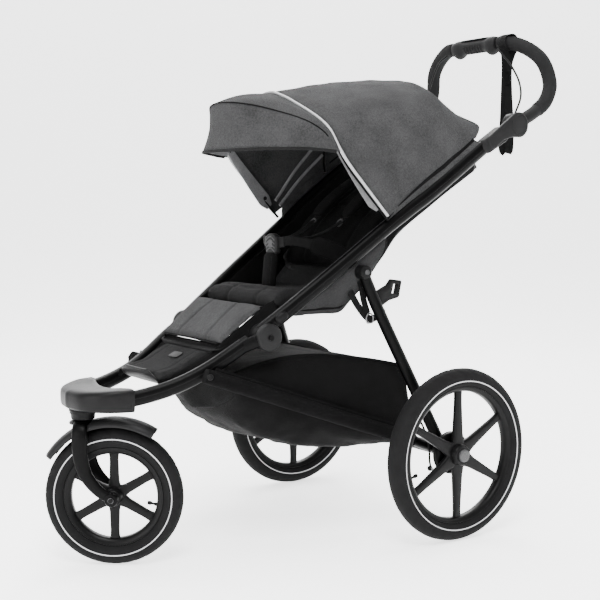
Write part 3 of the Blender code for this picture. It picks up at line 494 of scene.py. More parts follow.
def grid_normals(rows):
    du = np.gradient(rows, axis=0)
    dv = np.gradient(rows, axis=1)
    n = np.cross(du, dv)
    return n / (np.linalg.norm(n, axis=2)[..., None] + 1e-12)


def wrinkle(rows, height, scale, seed):
    """Soft folds: low noise along the normals, held at the edges."""
    n = grid_normals(rows)
    out = rows.copy()
    m, k = rows.shape[:2]
    for i in range(m):
        for j in range(k):
            q = rows[i, j] * scale + seed
            d = noise.fractal(Vector(q), 0.8, 2.1, 3)
            hold = math.sin(math.pi * i / (m - 1)) * math.sin(math.pi * j / (k - 1))
            out[i, j] += n[i, j] * height * d * min(1.0, 1.6 * hold)
    return out


def panel(name, rows, mat, body, rests_on, held="stretched", thickness=0.0012, **more):
    """A thin sheet of cloth."""
    obj = sheet_grid(name, rows, mat, body, thickness, 0.0, **more)
    return obj


def stitches(name, path, body):
    """A run of raised stitches along a seam."""
    pitch, length, radius = 0.0042, 0.0026, 0.00045
    p = np.asarray(path, float)
    total = np.linalg.norm(np.diff(p, axis=0), axis=1).sum()
    fine = spline(p, max(int(total / pitch) * 2 + 1, 5))
    shapes = []
    for a, b in zip(fine[0:-1:2], fine[1::2]):
        d = b - a
        step = np.linalg.norm(d)
        if step < 1e-6:
            continue
        e = a + d / step * min(length, step)
        shapes.append(skin(sweep_points(np.array([a, (a + e) / 2, e]), oval(radius, radius, 2, 5),
            scale=[0.6, 1.0, 0.6], up=None)))
    return make(name, *join_points(*shapes), "thread", body)


def puff(obj, cap, voxel):
    """Fill a soft piece with air: remesh, blow up with the cloth solver, and hold each point near its start."""
    remesh = obj.modifiers.new("voxels", "REMESH")
    remesh.mode = "VOXEL"
    remesh.voxel_size = voxel
    bpy.context.view_layer.objects.active = obj
    bpy.ops.object.modifier_apply(modifier=remesh.name)
    start = np.array([v.co for v in obj.data.vertices])
    cloth_mod = obj.modifiers.new("air", "CLOTH")
    cloth_mod.settings.quality = 4
    cloth_mod.settings.use_pressure = True
    cloth_mod.settings.uniform_pressure_force = 4.0
    cloth_mod.settings.effector_weights.gravity = 0
    cloth_mod.settings.tension_stiffness = 10
    cloth_mod.settings.bending_stiffness = 0.5
    for step in range(1, 21):
        bpy.context.scene.frame_set(step)
    bpy.context.view_layer.update()
    blown = obj.evaluated_get(bpy.context.evaluated_depsgraph_get()).data
    moved = np.array([v.co for v in blown.vertices])
    obj.modifiers.remove(cloth_mod)
    step = moved - start
    reach = np.linalg.norm(step, axis=1)[:, None]
    start = start + step * np.minimum(1.0, cap / np.maximum(reach, 1e-9))
    bpy.context.scene.frame_set(1)
    obj.data.vertices.foreach_set("co", start.astype(np.float32).ravel())
    obj.data.shade_smooth()
    return obj


def carve(obj, seams, depth, width):
    """Press sewn channels into a padded piece. Each seam gives a point's distance from it, in the axle frame."""
    mesh = obj.data
    normals = np.array([v.normal for v in mesh.vertices])
    co = np.array([v.co for v in mesh.vertices])
    local = co - SHIFT
    for seam in seams:
        d = seam(local)
        co -= normals * (depth * np.exp(-((d / width) ** 2)))[:, None]
    mesh.vertices.foreach_set("co", co.astype(np.float32).ravel())
    mesh.update()
    sub = obj.modifiers.new("smooth", "SUBSURF")
    sub.levels = 1
    sub.render_levels = 1
    return obj

# ---------------------------------------------------------------- camera, floor and light

CAMERA = at([[2.2662, -1.7995, 0.7937]])[0]
camera_data = bpy.data.cameras.new("camera")
camera_data.lens = 69.04
camera_data.sensor_width = 36
camera = bpy.data.objects.new("camera", camera_data)
camera.location = CAMERA
turn, tilt = math.radians(54.96), math.radians(5.16)
looking = Vector((-math.sin(turn) * math.cos(tilt), math.cos(turn) * math.cos(tilt), -math.sin(tilt)))
camera.rotation_euler = looking.to_track_quat("-Z", "Y").to_euler()
bpy.context.scene.collection.objects.link(camera)
bpy.context.scene.camera = camera


def floor_and_light():
    """A pale paper sweep that rises behind the stroller, a bright room and four soft lights."""
    path = [(-60.0, 0.0)] + [(3.0 + 3.0 * math.sin(a), 3.0 - 3.0 * math.cos(a))
        for a in np.linspace(0.0, math.pi / 2, 40)] + [(6.0, 40.0)]
    away = Vector((looking.x, looking.y, 0)).normalized()
    side = Vector((away.y, -away.x, 0))
    points = [away * d + side * w + Vector((0, 0, h)) for d, h in path for w in (-60, 60)]
    mesh = bpy.data.meshes.new("floor")
    mesh.from_pydata([tuple(p) for p in points], [], [(2 * i, 2 * i + 1, 2 * i + 3, 2 * i + 2)
        for i in range(len(path) - 1)])
    mesh.shade_smooth()
    floor = bpy.data.objects.new("floor", mesh)
    n = Nodes("floor_paper", Specular_IOR_Level=0.05, Emission_Color=(1, 1, 1, 1), Emission_Strength=1.9)
    n.colour(n.ramp(n.noise(0.8), (0.3, (0.9, 0.9, 0.9)), (0.7, (0.915, 0.915, 0.915))))
    n.rough(n.noise(4.0), 0.9, 0.97)
    mesh.materials.append(n.material)
    bpy.context.scene.collection.objects.link(floor)
    world = bpy.data.worlds.new("studio")
    world.use_nodes = True
    background = world.node_tree.nodes["Background"]
    background.inputs["Color"].default_value = (0.98, 0.985, 1.0, 1)
    background.inputs["Strength"].default_value = 0.6
    bpy.context.scene.world = world
    lights = (("key", (1.9, -1.4, 3.4), 1.5, 190), ("front", (1.2, -3.6, 1.1), 1.6, 80),
        ("back", (-2.6, 2.0, 2.6), 1.6, 80), ("top", (0.0, 0.0, 3.8), 2.2, 140))
    for name, place, width, power in lights:
        data = bpy.data.lights.new(name, "AREA")
        data.size = width
        data.energy = power
        lamp = bpy.data.objects.new(name, data)
        lamp.location = place
        lamp.rotation_euler = (Vector((0, 0, 0.5)) - Vector(place)).to_track_quat("-Z", "Y").to_euler()
        bpy.context.scene.collection.objects.link(lamp)


floor_and_light()

# ---------------------------------------------------------------- wheels


def tread(radius, centre, direction, name, body, node):
    """Tyre with shallow cut blocks over the crown and ribbed shoulders."""
    half_wide, half_high = 0.0235, 0.0225
    around, across = 288, 36
    middle = radius - half_high
    d, u, v = axes_for(direction)
    t = full_turn(around)
    out = np.cos(t)[:, None] * u + np.sin(t)[:, None] * v
    phi = full_turn(across)
    power = 2.15
    c, s = np.cos(phi), np.sin(phi)
    r0 = half_high * np.sign(c) * np.abs(c) ** (2 / power)
    h0 = half_wide * np.sign(s) * np.abs(s) ** (2 / power)
    rings = []
    for i in range(around):
        cut = np.zeros(across)
        for k in range(across):
            lean = h0[k] / half_wide
            if r0[k] > 0.35 * half_high:
                tooth = (i + int(round(8 * abs(lean)))) % 8
                if tooth == 0 and abs(lean) > 0.25:
                    cut[k] = 0.0011
                if 0.16 < abs(lean) < 0.24:
                    cut[k] = max(cut[k], 0.001)
            elif r0[k] > -0.1 * half_high and i % 4 == 0:
                cut[k] = 0.0003
        shrink = 1 - cut / half_high
        rings.append(np.asarray(centre) + (middle + r0 * shrink)[:, None] * out[i] + (h0 * shrink)[:, None] * d)
    return make(name, *skin(rings, True, False), "tyre", body, slot="tyre", replaces=[node])


def sidewall_ring(radius, ring, centre, direction, name, body):
    """The reflective line on both sidewalls."""
    half_high = 0.0225
    middle = radius - half_high
    shapes = []
    for sign in (-1, 1):
        profile = []
        for r in (ring - 0.0011, ring, ring + 0.0011):
            x = abs(r - middle) / half_high
            h = 0.0235 * (1 - min(x, 0.999) ** 2.15) ** (1 / 2.15)
            profile.append((r, h))
        loop = [(r, sign * (h + 0.0004)) for r, h in profile]
        loop += [(r, sign * (h - 0.0012)) for r, h in reversed(profile)]
        shapes.append(skin(turned_points(loop, centre, direction, 128), True, False))
    return make(name, *join_points(*shapes), "glow", body)


def spokes(centre, direction, inner, outer, hub_half, rim_half, thick):
    """Six blades that taper towards the rim, with soft edges and a shallow rib."""
    d, _, up = axes_for(direction)
    side = np.cross(up, d)
    shapes = []
    for k in range(6):
        a = math.radians(90 + 60 * k)
        along = math.cos(a) * side + math.sin(a) * up
        cross = np.cross(d, along)
        rings = []
        for s in np.linspace(0, 1, 9):
            r = inner + (outer - inner) * s
            flare = 0.3 * math.exp(-((1 - s) / 0.1) ** 2) + 0.55 * math.exp(-(s / 0.12) ** 2)
            half = (hub_half + (rim_half - hub_half) * s) * (1 + flare)
            sec = oval(half, thick * (1 - 0.22 * s), 4.0, 20)
            rings.append(np.asarray(centre) + r * along + sec[:, :1] * cross + sec[:, 1:] * d)
        shapes.append(skin(rings))
    return shapes


def rim(name, seat, opening, hub_radius, hub_low, hub_high, centre, direction, body, node, spoke_half, tip_half):
    """Rim, blades and hub as one moulding."""
    lip = 0.0118
    profile = [(seat + 0.003, lip + 0.0012), (seat + 0.0022, lip + 0.0028), (seat - 0.002, lip + 0.0022),
        (opening + 0.0022, lip - 0.001), (opening, lip - 0.0042), (opening - 0.0004, 0.0), (opening, 0.0042 - lip),
        (opening + 0.0022, 0.001 - lip), (seat - 0.002, -lip - 0.0022), (seat + 0.0022, -lip - 0.0028),
        (seat + 0.003, -lip - 0.0012), (seat - 0.001, -0.01), (seat - 0.001, 0.01)]
    shapes = [skin(turned_points(profile, centre, direction, 128), True, False)]
    shapes += spokes(centre, direction, hub_radius * 0.6, opening + 0.002, spoke_half, tip_half, 0.0075)
    h = hub_radius
    hub = [(0.0066, hub_high), (h - 0.006, hub_high), (h - 0.0035, hub_high - 0.0008),
        (h - 0.0015, hub_high - 0.0035), (h, (hub_high + 0.004) if hub_high < 0 else 0.006), (h + 0.0015, 0.0),
        (h, -0.006), (h - 0.0015, hub_low + 0.0035), (h - 0.0035, hub_low + 0.0008), (h - 0.006, hub_low),
        (0.0066, hub_low)]
    shapes.append(skin(turned_points(hub, centre, direction, 64), True, False))
    return make(name, *join_points(*shapes), "rim", body, slot="black_plastic", replaces=[node])


def valve(name, centre, direction, seat, angle, body):
    """Valve stem with its cap, standing into the wheel from the rim."""
    d, _, v = axes_for(direction)
    side = np.cross(v, d)
    a = math.radians(angle)
    along = math.cos(a) * side + math.sin(a) * v
    stem = mm([(3.8, 0), (3.8, 5), (2.6, 7), (2.6, 13), (4, 14), (4.4, 18), (3.8, 21.5), (1.8, 22.8)])
    return turned(name, stem, "plastic", body, np.asarray(centre) + along * seat, -along, 20)


def wheels():
    for name, side in SIDES:
        centre = flip(REAR_AXLE, side)
        body = f"rear_wheel_{name}"
        out = (side, 0, 0)
        tread(0.2, centre, out, f"rear_tyre_{name}", body, f"rear_{name}_tyre")
        sidewall_ring(0.2, 0.1723, centre, out, f"rear_tyre_line_{name}", body)
        rim(f"rear_rim_{name}", 0.1555, 0.1475, 0.0255, -0.01, 0.02, centre, out, body, f"rear_{name}_rim", 0.015,
            0.0076)
        valve(f"rear_valve_{name}", centre, out, 0.148, 195, body)
        cap = mm([(0, 27.6), (5.8, 27.5), (6.6, 26.6), (7.4, 26.7), (13, 27.2), (14.2, 26.4), (14.8, 25),
            (14.8, 21.2)])
        turned(f"axle_button_{name}", cap, "cap", body, centre, out, 48, slot="light_plastic",
            replaces=[f"hub_cap_{name}"])
        collar = mm([(18.5, 20.3), (20.5, 21.2), (21.5, 20.6), (21.5, 19.6)])
        turned(f"hub_collar_{name}", collar, "hub", body, centre, out, 48)
    tread(0.1497, FRONT_AXLE, FRONT_DIR, "front_tyre_tread", "front_wheel", "front_tyre")
    sidewall_ring(0.1497, 0.1269, FRONT_AXLE, FRONT_DIR, "front_tyre_line", "front_wheel")
    rim("front_rim_moulding", 0.105, 0.0935, 0.02, -0.0305, 0.0305, FRONT_AXLE, FRONT_DIR, "front_wheel", "front_rim",
        0.0112, 0.0088)
    valve("front_valve", FRONT_AXLE, FRONT_DIR, 0.095, -12, "front_wheel")


wheels()

# ---------------------------------------------------------------- front fork


def yawed(points):
    """Points drawn with the wheel straight ahead, turned to where the fork rests."""
    p = np.asarray(points, float)
    a = math.atan2(-FRONT_DIR[1], FRONT_DIR[0])
    c, s = math.cos(-a), math.sin(-a)
    q = p - SWIVEL
    return np.stack([c * q[..., 0] - s * q[..., 1], s * q[..., 0] + c * q[..., 1], q[..., 2]], -1) + SWIVEL


def front_fork():
    y, trail, axle = SWIVEL[1], 0.066, FRONT_AXLE[2]
    shapes = []
    for side in (1, -1):
        line = spline([(side * 0.02, y - 0.001, 0.31), (side * 0.032, y - 0.001, 0.303), (side * 0.0385, y, 0.283),
            (side * 0.0388, y + 0.001, 0.245), (side * 0.0385, y + 0.011, 0.205), (side * 0.0383, y + 0.036, 0.171),
            (side * 0.0382, y + trail, axle)], 26)
        wide = np.interp(np.linspace(0, 1, 26), [0, 0.2, 0.45, 0.8, 1], [0.0155, 0.0172, 0.016, 0.0125, 0.0105])
        thin = np.interp(np.linspace(0, 1, 26), [0, 0.2, 0.6, 1], [0.007, 0.0064, 0.0062, 0.0058])
        sections = np.array([oval(a, b, 2.6, 20) for a, b in zip(wide, thin)])
        ahead = np.array([side, 0.0, 0.0])
        tangent = np.gradient(line, axis=0)
        tangent /= np.linalg.norm(tangent, axis=1)[:, None]
        rings = []
        for i in range(26):
            b = ahead - tangent[i] * (ahead @ tangent[i])
            b /= np.linalg.norm(b)
            a = np.cross(b, tangent[i])
            rings.append(line[i] + sections[i][:, :1] * a + sections[i][:, 1:] * b)
        shapes.append(skin(yawed(rings)))
        end = mm([(0, 7.5), (10.5, 7.5), (13.5, 6.6), (14.8, 4.5), (14.8, -4), (13, -5.8), (0, -5.8)])
        place = np.array([side * 0.0388, y + trail, axle])
        shapes.append(skin(yawed(turned_points(end, place, (side, 0, 0), 40))))
    crown = mm([(0, 316.5), (17, 316.5), (23.5, 315.5), (28, 313), (30, 310), (29.2, 307.8), (0, 307.8)])
    shapes.append(skin(turned_points(crown, (0, y, 0), (0.0001, 0, 1), 40)))
    make("fork_blades", *join_points(*shapes), "frame", "fork", slot="frame", replaces=["front_fork"])
    for side in (1, -1):
        nut = mm([(0, 5.2), (4.4, 5.2), (5.4, 4.2), (5.4, 0), (0, 0)])
        d = FRONT_DIR * side
        turned(f"front_axle_nut_{'left' if side > 0 else 'right'}", nut, "plastic", "fork", FRONT_AXLE + d * 0.0462,
            d, 6 if side < 0 else 32)


def mudguard():
    """Channel over the tyre: a dark crown strip between two lighter sides, turned down at the edges."""
    radius, width = 0.169, 0.0292
    angles = np.radians(np.linspace(57.0, 147.5, 40))
    centre = np.array([0, SWIVEL[1] + 0.066, FRONT_AXLE[2]])
    across = np.array([-1.0, -0.97, -0.88, -0.74, -0.56, -0.5, -0.25, 0, 0.25, 0.5, 0.56, 0.74, 0.88, 0.97, 1.0])
    drop = np.array([0.015, 0.0095, 0.0048, 0.0026, 0.0014, 0.0006, 0.0001, 0, 0.0001, 0.0006, 0.0014, 0.0026, 0.0048,
        0.0095, 0.015])
    rows = []
    for i, a in enumerate(angles):
        end = min(1.0, min(i, 39 - i) / 4.0)
        k = 0.9 + 0.1 * math.sin(end * math.pi / 2)
        rows.append([(width * k * x, centre[1] + (radius - h * k) * math.cos(a),
            centre[2] + (radius - h * k) * math.sin(a)) for x, h in zip(across, drop)])
    rows = yawed(np.array(rows))
    sheet_grid("mudguard", rows, "fender", "fork", 0.0026, -1.0, slot="black_plastic", replaces=["fender"])
    strip = []
    for a in angles[1:-1]:
        strip.append([(x * width, centre[1] + (radius + 0.0007 - h) * math.cos(a),
            centre[2] + (radius + 0.0007 - h) * math.sin(a)) for x, h in zip(across[5:10], drop[5:10])])
    sheet_grid("mudguard_strip", yawed(np.array(strip)), "plastic", "fork", 0.0012, 0.0)


front_fork()
mudguard()


def front_casting():
    """The horseshoe casting: rounded all over, with a waist line and a chamfered underside."""
    outer = spline(mm([(112, -712), (109, -735), (100, -760), (80, -788), (50, -810), (0, -820)]), 24)
    inner = spline(mm([(0, -724), (30, -723), (56, -719), (72, -714), (76, -712)]), 16)
    outer, inner = (spline(np.vstack([line, flip(line[:-1][::-1], -1)]), 71) for line in (outer, inner[::-1]))
    layers = oval(1.0, 0.0246, 5.0, 48)
    layers[:, 0] -= np.sign(layers[:, 0]) * 0.035 * np.exp(-(((layers[:, 1] + 0.0135) / 0.001) ** 2))
    rings = []
    for o, i in zip(outer, inner):
        half, middle = (o - i) / 2, (o + i) / 2
        lift = min(max((-0.735 - middle[1]) / 0.04, 0.0), 1.0)
        rings.append([(*(middle + half * w), 0.364 + h - (0.0045 * lift if h > 0.004 else 0.0)) for w, h in layers])
    make("casting_shell", *skin(rings), "cast", "front_frame", slot="grey_plastic", replaces=["front_casting"])
    housing = mm([(0, 344), (30, 344), (30, 336), (28.5, 334.5), (28.5, 331), (26.2, 328), (25.5, 319), (23.5, 317.6),
        (0, 317.6)])
    turned("swivel_cup", housing, "plastic", "front_frame", (0, SWIVEL[1], 0), (0.0001, 0, 1), 48,
        slot="black_plastic", replaces=["swivel_housing"])


front_casting()

# ---------------------------------------------------------------- frame tubes

LOWER_RAIL = mm([(87, -738, 364.4), (98, -700, 368), (111, -650, 379), (125, -600, 396), (140, -550, 421),
    (153, -505, 449), (162.5, -460, 477.5)])
UPPER_RAIL = mm([(168.5, -435, 495.5), (179, -379, 535), (188, -321, 576), (195, -270, 612), (201, -216, 650),
    (207, -160, 690), (213, -105, 729), (224, -50, 768), (232, 0, 801), (237, 85, 859), (238, 168, 915)])
REAR_LEG = mm([(212, -183.6, 621.7), (216, -162, 570), (229, -128, 491), (256, -62, 343), (276, -18, 242),
    (284, 0, 200)])
SIDE_TUBE = mm([(172, -572, 412), (186, -480, 379), (225, -260, 298), (248, -100, 240), (250, 0, 200)])
HANDLEBAR = mm([(231.5, 279, 972), (231.5, 305, 984), (231.5, 341, 1003), (229, 378, 1028), (223, 402, 1065),
    (217, 403, 1096), (209, 397, 1123), (195, 391, 1144), (170, 383, 1164), (140, 374, 1179), (110, 364, 1187),
    (85, 360, 1188)])


def rails():
    for name, side in SIDES:
        lower = flip(spline(LOWER_RAIL, 46), side)
        upper = flip(spline(UPPER_RAIL, 80), side)
        parts = (("lower", lower, "front_frame"), ("upper", upper, "upper_frame"))
        for part, line, body in parts:
            sweep(f"{part}_rail_tube_{name}", line, oval(0.0118, 0.0168, 2.3, 32), "rail", body, slot="frame",
                replaces=[f"{part}_rail_{name}"])
        for part, line, body in parts:
            t = np.gradient(line, axis=0)
            t /= np.linalg.norm(t, axis=1)[:, None]
            across = np.cross(t, (0, 0, 1))
            across /= np.linalg.norm(across, axis=1)[:, None]
            high = np.cross(across, t)
            inner = -across * side * np.sign((across[:, 0] * side))[:, None]
            # A lighter strip laid along the top inner edge of each rail: a painted highlight where the rail catches
            # the light.
            bead = line + high * 0.015 + inner * 0.0062
            sweep(f"{part}_rail_bead_{name}", bead[1:-2], oval(0.0016, 0.0011, 2, 10), "bead", body)
            groove = line + high * 0.001 - inner * 0.0115
            sweep(f"{part}_rail_line_{name}", groove[1:-2], oval(0.0006, 0.0011, 2, 8), "plastic", body)


# Lighter plastic for the strip along the rails' top inner edge: a painted highlight.
MAT["bead"] = plastic("rail_painted_highlight", 0.03, 0.25, 0.4)
rails()


def circle(y, z, radius, start=0.0, end=360.0, count=48):
    a = np.radians(np.linspace(start, end, count, endpoint=(end - start) < 359))
    return np.stack([y + radius * np.cos(a), z + radius * np.sin(a)], 1)


def fold_hubs():
    y, z = HUB[1], HUB[2]
    for name, side in SIDES:
        plate(f"fold_housing_{name}", circle(y, z, 0.0305), rounded(0.1772, 0.1952, 0.0045), "hub", "front_frame",
            side, slot="grey_plastic", replaces=[f"fold_hub_{name}"])
        plate(f"fold_knuckle_{name}", circle(y, z, 0.0288), rounded(0.1492, 0.1764, 0.002), "plastic", "upper_frame",
            side)
        strap = spline([(side * 0.16, y - 0.052, z - 0.0205), (side * 0.17, y - 0.038, z - 0.013),
            (side * 0.18, y - 0.024, z - 0.006)], 10)
        sweep(f"hub_arm_{name}", strap, oval(0.0105, 0.0145, 2.6, 24), "rail", "front_frame")
        bump = spline([(side * 0.186, y + 0.02, z + 0.035), (side * 0.188, y + 0.033, z + 0.043),
            (side * 0.19, y + 0.046, z + 0.05)], 10)
        sweep(f"release_slide_{name}", bump, oval(0.0075, 0.01, 2.8, 20), "plastic", "upper_frame",
            scale=[0.5, 0.8, 0.95, 1, 1, 1, 1, 0.95, 0.8, 0.5])


fold_hubs()


def handle_hinges():
    y, z = GRIP[1], GRIP[2]
    for name, side in SIDES:
        outline = np.vstack([circle(y, z, 0.0308, -80, 128, 40), circle(0.18, 0.924, 0.0172, 128, 304, 18),
            [(0.215, 0.9285), (0.244, 0.9365)]])
        verts, faces = pillow(outline, rounded(0.2446, 0.2548, 0.0038))
        shapes = [(flip(verts, side), faces)]
        sleeve = np.vstack([circle(0.215, 0.942, 0.0195, -60, 128, 16), circle(0.166, 0.914, 0.018, 128, 304, 18)])
        verts, faces = pillow(sleeve, rounded(0.2248, 0.252, 0.004))
        shapes.append((flip(verts, side), faces))
        ring = mm([(26.2, 0.2), (25.6, 1.1), (23.6, 1.1), (23, 0.2)])
        shapes.append(skin(turned_points(ring, (side * 0.2547, y, z), (side, 0, 0), 56), True, False))
        make(f"hinge_housing_{name}", *join_points(*shapes), "hub", "upper_frame", slot="grey_plastic",
            replaces=[f"handle_hinge_{name}"])
        plate(f"handle_knuckle_{name}", circle(y, z, 0.0288), rounded(0.2205, 0.2437, 0.0025), "plastic", "handlebar",
            side)
        button = mm([(0, 2.2), (8, 2), (9.8, 1.2), (10.4, 0)])
        turned(f"angle_button_{name}", button, "plastic", "handlebar", (side * 0.2204, y, z), (-side, 0, 0), 40)


handle_hinges()


def leg_frames():
    for name, side in SIDES:
        leg = flip(spline(REAR_LEG, 64), side)
        scale = np.interp(np.linspace(0, 1, 64), [0, 0.08, 1.0], [0.92, 1.0, 1.0])
        sweep(f"leg_tube_{name}", leg, oval(0.0136, 0.0136, 2, 28), "frame", "rear_frame", scale=scale, up=None,
            slot="frame", replaces=[f"rear_leg_{name}"])
        y, z = LEG_TOP[1], LEG_TOP[2]
        knuckle = mm([(0, 15), (6, 15.2), (7, 14), (13.5, 14), (15.5, 12.5), (16, 10), (16, -13), (14.8, -14.8),
            (0, -14.8)])
        turned(f"leg_knuckle_{name}", knuckle, "plastic", "rear_frame", (side * 0.212, y, z), (side, 0, 0), 48)
        bush = mm([(0, 2), (4.8, 1.9), (5.8, 1), (6.2, -1)])
        turned(f"leg_bushing_{name}", bush, "bushing", "rear_frame", (side * 0.227, y, z), (side, 0, 0), 40)
        outline = np.vstack([mm([(-216, 642), (-142, 693), (-156, 650)]), circle(y, z, 0.019, 10, -170, 20)])
        plate(f"leg_bracket_{name}", outline, rounded(0.1842, 0.1953, 0.0015), "plastic", "upper_frame", side)
        centre = flip(REAR_AXLE, side)
        block = mm([(0, -33.5), (17, -33.5), (20, -34.5), (21.4, -37), (21.4, -62), (19, -64.5), (0, -64.5)])
        turned(f"axle_block_{name}", block, "plastic", "rear_frame", centre, (side, 0, 0), 48)
        drum = mm([(0, -11.8), (35, -11.8), (42, -12.4), (47, -14), (48.8, -16.5), (49, -22.5), (47.8, -23.8),
            (49, -25), (48.8, -29), (45, -31.5), (30, -32.5), (0, -32.5)])
        turned(f"drum_shell_{name}", drum, "frame", "rear_frame", centre, (side, 0, 0), 80, slot="black_plastic",
            replaces=[f"brake_drum_{name}"])
        x = side * (REAR_AXLE[0] - 0.037)
        arm = spline([(x, -0.006, 0.178), (x, -0.026, 0.164), (x, -0.044, 0.162), (x, -0.05, 0.169)], 16)
        sweep(f"brake_arm_{name}", arm, oval(0.0018, 0.0058, 2.6, 16), "steel", "rear_frame", up=(1, 0, 0))
        ball = mm([(0, 6.4), (4, 5.2), (6.2, 2), (6.4, -2), (4.2, -5.2), (0, -6.4)])
        turned(f"cable_nipple_{name}", ball, "plastic", "rear_frame", (x - side * 0.002, -0.048, 0.1655),
            (side, 0, 0), 28)
        housing = spline([(x, -0.049, 0.172), (x - side * 0.002, -0.05, 0.186), (x - side * 0.01, -0.044, 0.206),
            (x - side * 0.022, -0.042, 0.238), (x - side * 0.032, -0.056, 0.278)], 30)
        tube(f"brake_hose_{name}", housing, 0.0024, "plastic", "rear_frame", 12)


leg_frames()


def lower_tubes():
    for name, side in SIDES:
        line = flip(spline(SIDE_TUBE, 60), side)
        sweep(f"side_tube_smooth_{name}", line, oval(0.0123, 0.0123, 2, 24), "frame", "lower_frame", up=None,
            slot="frame", replaces=[f"side_tube_{name}"])
        pin = mm([(0, 3), (5, 3), (6.2, 1.8), (6.6, 0), (6.6, -3), (0, -3)])
        turned(f"tube_bolt_{name}", pin, "plastic", "lower_frame", (side * 0.186, TUBE_END[1], TUBE_END[2]),
            (side, 0, 0), 36)
    for node, mat in (("rear_crossbar", "frame"), ("fold_axle", "frame"), ("front_axle", "steel"),
            ("brake_pedal", "hub")):
        coat(node, mat)
    catch = mm([(-156, 548), (-136, 544), (-118, 554), (-90, 560), (-87, 564), (-80, 596), (-83, 599.5), (-108, 603),
        (-112, 600), (-120, 590), (-148, 578), (-164, 572)])
    body = plate("storage_catch", catch, rounded(0.2125, 0.2255, 0.002), "plastic", "rear_frame",
        slot="black_plastic", replaces=["fold_catch"])
    hole = mm([(-111, 569), (-96, 570), (-90.5, 590), (-105, 593)])
    cutter = plate("catch_hole", hole, [(0.2, 0.0), (0.24, 0.0)], "plastic", None)
    cut = body.modifiers.new("window", "BOOLEAN")
    cut.operation = "DIFFERENCE"
    cut.solver = "EXACT"
    cut.object = cutter
    bpy.context.view_layer.objects.active = body
    bpy.ops.object.modifier_apply(modifier=cut.name)
    bpy.data.objects.remove(cutter)


lower_tubes()

# ---------------------------------------------------------------- canopy


def rail_at(y):
    """The centre of the upper rail at a distance along the stroller."""
    line = spline([*LOWER_RAIL, *UPPER_RAIL], 200)
    return np.array([np.interp(y, line[:, 1], line[:, k]) for k in range(3)])


RIB_FRONT = mm([(233, -129, 748), (235, -193, 812), (236, -245, 866), (234.5, -270, 901), (224, -288, 940),
    (188, -297, 968), (112, -300, 1002), (57, -299, 1022), (0, -295, 1034)])
RIB_TOP = mm([(239, 30, 848), (243, 32, 900), (240.5, 34, 950), (228, 37, 993), (188, 42, 1034), (130, 45, 1061),
    (65, 48, 1077), (0, 49, 1082)])
RIB_REAR = mm([(236.5, 128, 926), (237, 138, 942), (235.5, 145, 954.5), (218, 154, 965), (170, 149, 984),
    (100, 115, 1020), (50, 98, 1048), (0, 92, 1064)])


def canopy():
    count = 45
    front, top, rear = (whole(line, count) for line in (RIB_FRONT, RIB_TOP, RIB_REAR))
    lift = np.sin(np.linspace(0, np.pi, 2 * count - 1))[:, None] ** 0.7

    def part_way(a, b, s, high):
        p = a * (1 - s) + b * s
        p[:, 2] += high * 4 * s * (1 - s) * lift[:, 0]
        out = np.sign(p[:, 0]) * np.clip(np.abs(p[:, 0]) / 0.2, 0, 1) ** 4
        p[:, 0] += out * high * 2 * s * (1 - s) * lift[:, 0]
        return p

    rows = [part_way(front, top, s, 0.008) for s in np.linspace(0, 1, 23)]
    rows += [part_way(top, rear, s, 0.007) for s in np.linspace(0, 1, 11)[1:]]
    rows = wrinkle(wrinkle(np.array(rows), 0.0034, 6.0, 3.0), 0.0016, 21.0, 7.0)
    obj = sheet_grid("canopy_cover", rows, "melange", None, 0.0014, 0.0, slot="melange", replaces=["canopy_cloth"])

    def bend(piece):
        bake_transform(piece)

    bend(obj)
    edge = rows[0] + np.array([0, -0.001, 0.001])
    bend(sweep("canopy_piping", edge, oval(0.0036, 0.003, 2.2, 14), "pipe", None, up=None))
    sweep("canopy_rear_hem", rows[-1][1:-1], oval(0.003, 0.0034, 2.2, 12), "melange", "upper_frame", up=None)
    seam = rows[22] + grid_normals(rows)[22] * 0.0006
    stitches("canopy_seam_top", seam[2:-2], "upper_frame")
    for name, side in SIDES:
        low = rows[:, 0 if side > 0 else -1]
        high = rows[:, 10 if side > 0 else -11]
        t = np.linspace(0, 1, len(low))[:, None]
        share = 0.012 + 0.21 * np.minimum(1, 1.35 * t) * (1 - 0.75 * t**3)
        line = low * (1 - share) + high * share
        line[:, 0] = side * (np.abs(line[:, 0]) + 0.0028)
        keep = spline(line[4:], 60)
        taper = np.sin(np.linspace(0.12, np.pi * 0.62, 60)) ** 0.8
        bend(sweep(f"canopy_vent_{name}", keep, oval(0.0012, 0.0052, 3, 12), "black", None, scale=taper))
        lowest = []
        for y in np.linspace(-0.118, 0.15, 40):
            r = rail_at(y)
            lowest.append((r[0] + 0.003, y, r[2] + 0.015))
        flap_low = np.array(lowest)
        flap_top = flip(spline(keep, 40), side)
        flap_top[:, 0] -= 0.0035
        flap = np.array([flap_top * (1 - t) + flap_low * t + np.array([0.0022 * math.sin(math.pi * t), 0, 0])
            for t in np.linspace(-0.12, 1, 9)])
        flap = flip(wrinkle(flap, 0.0015, 14.0, 2.0), side)
        panel(f"canopy_flap_{name}", flap, "melange", "upper_frame", [f"upper_rail_tube_{name}"])
    front_bow = whole([(x * 0.965, y * 0.99 + 0.005, z - 0.009) for x, y, z in RIB_FRONT], 50)
    tube("canopy_bow_front", front_bow, 0.0035, "frame", "canopy_front", 14, replaces=["canopy_front_bow"])
    top_bow = whole([(x * 0.965, y, z - 0.011) for x, y, z in [(0.236, 0.031, 0.868), *RIB_TOP[1:]]], 50)
    tube("canopy_bow_top", top_bow, 0.0035, "frame", "upper_frame", 14, replaces=["canopy_rear_bow"])


canopy()


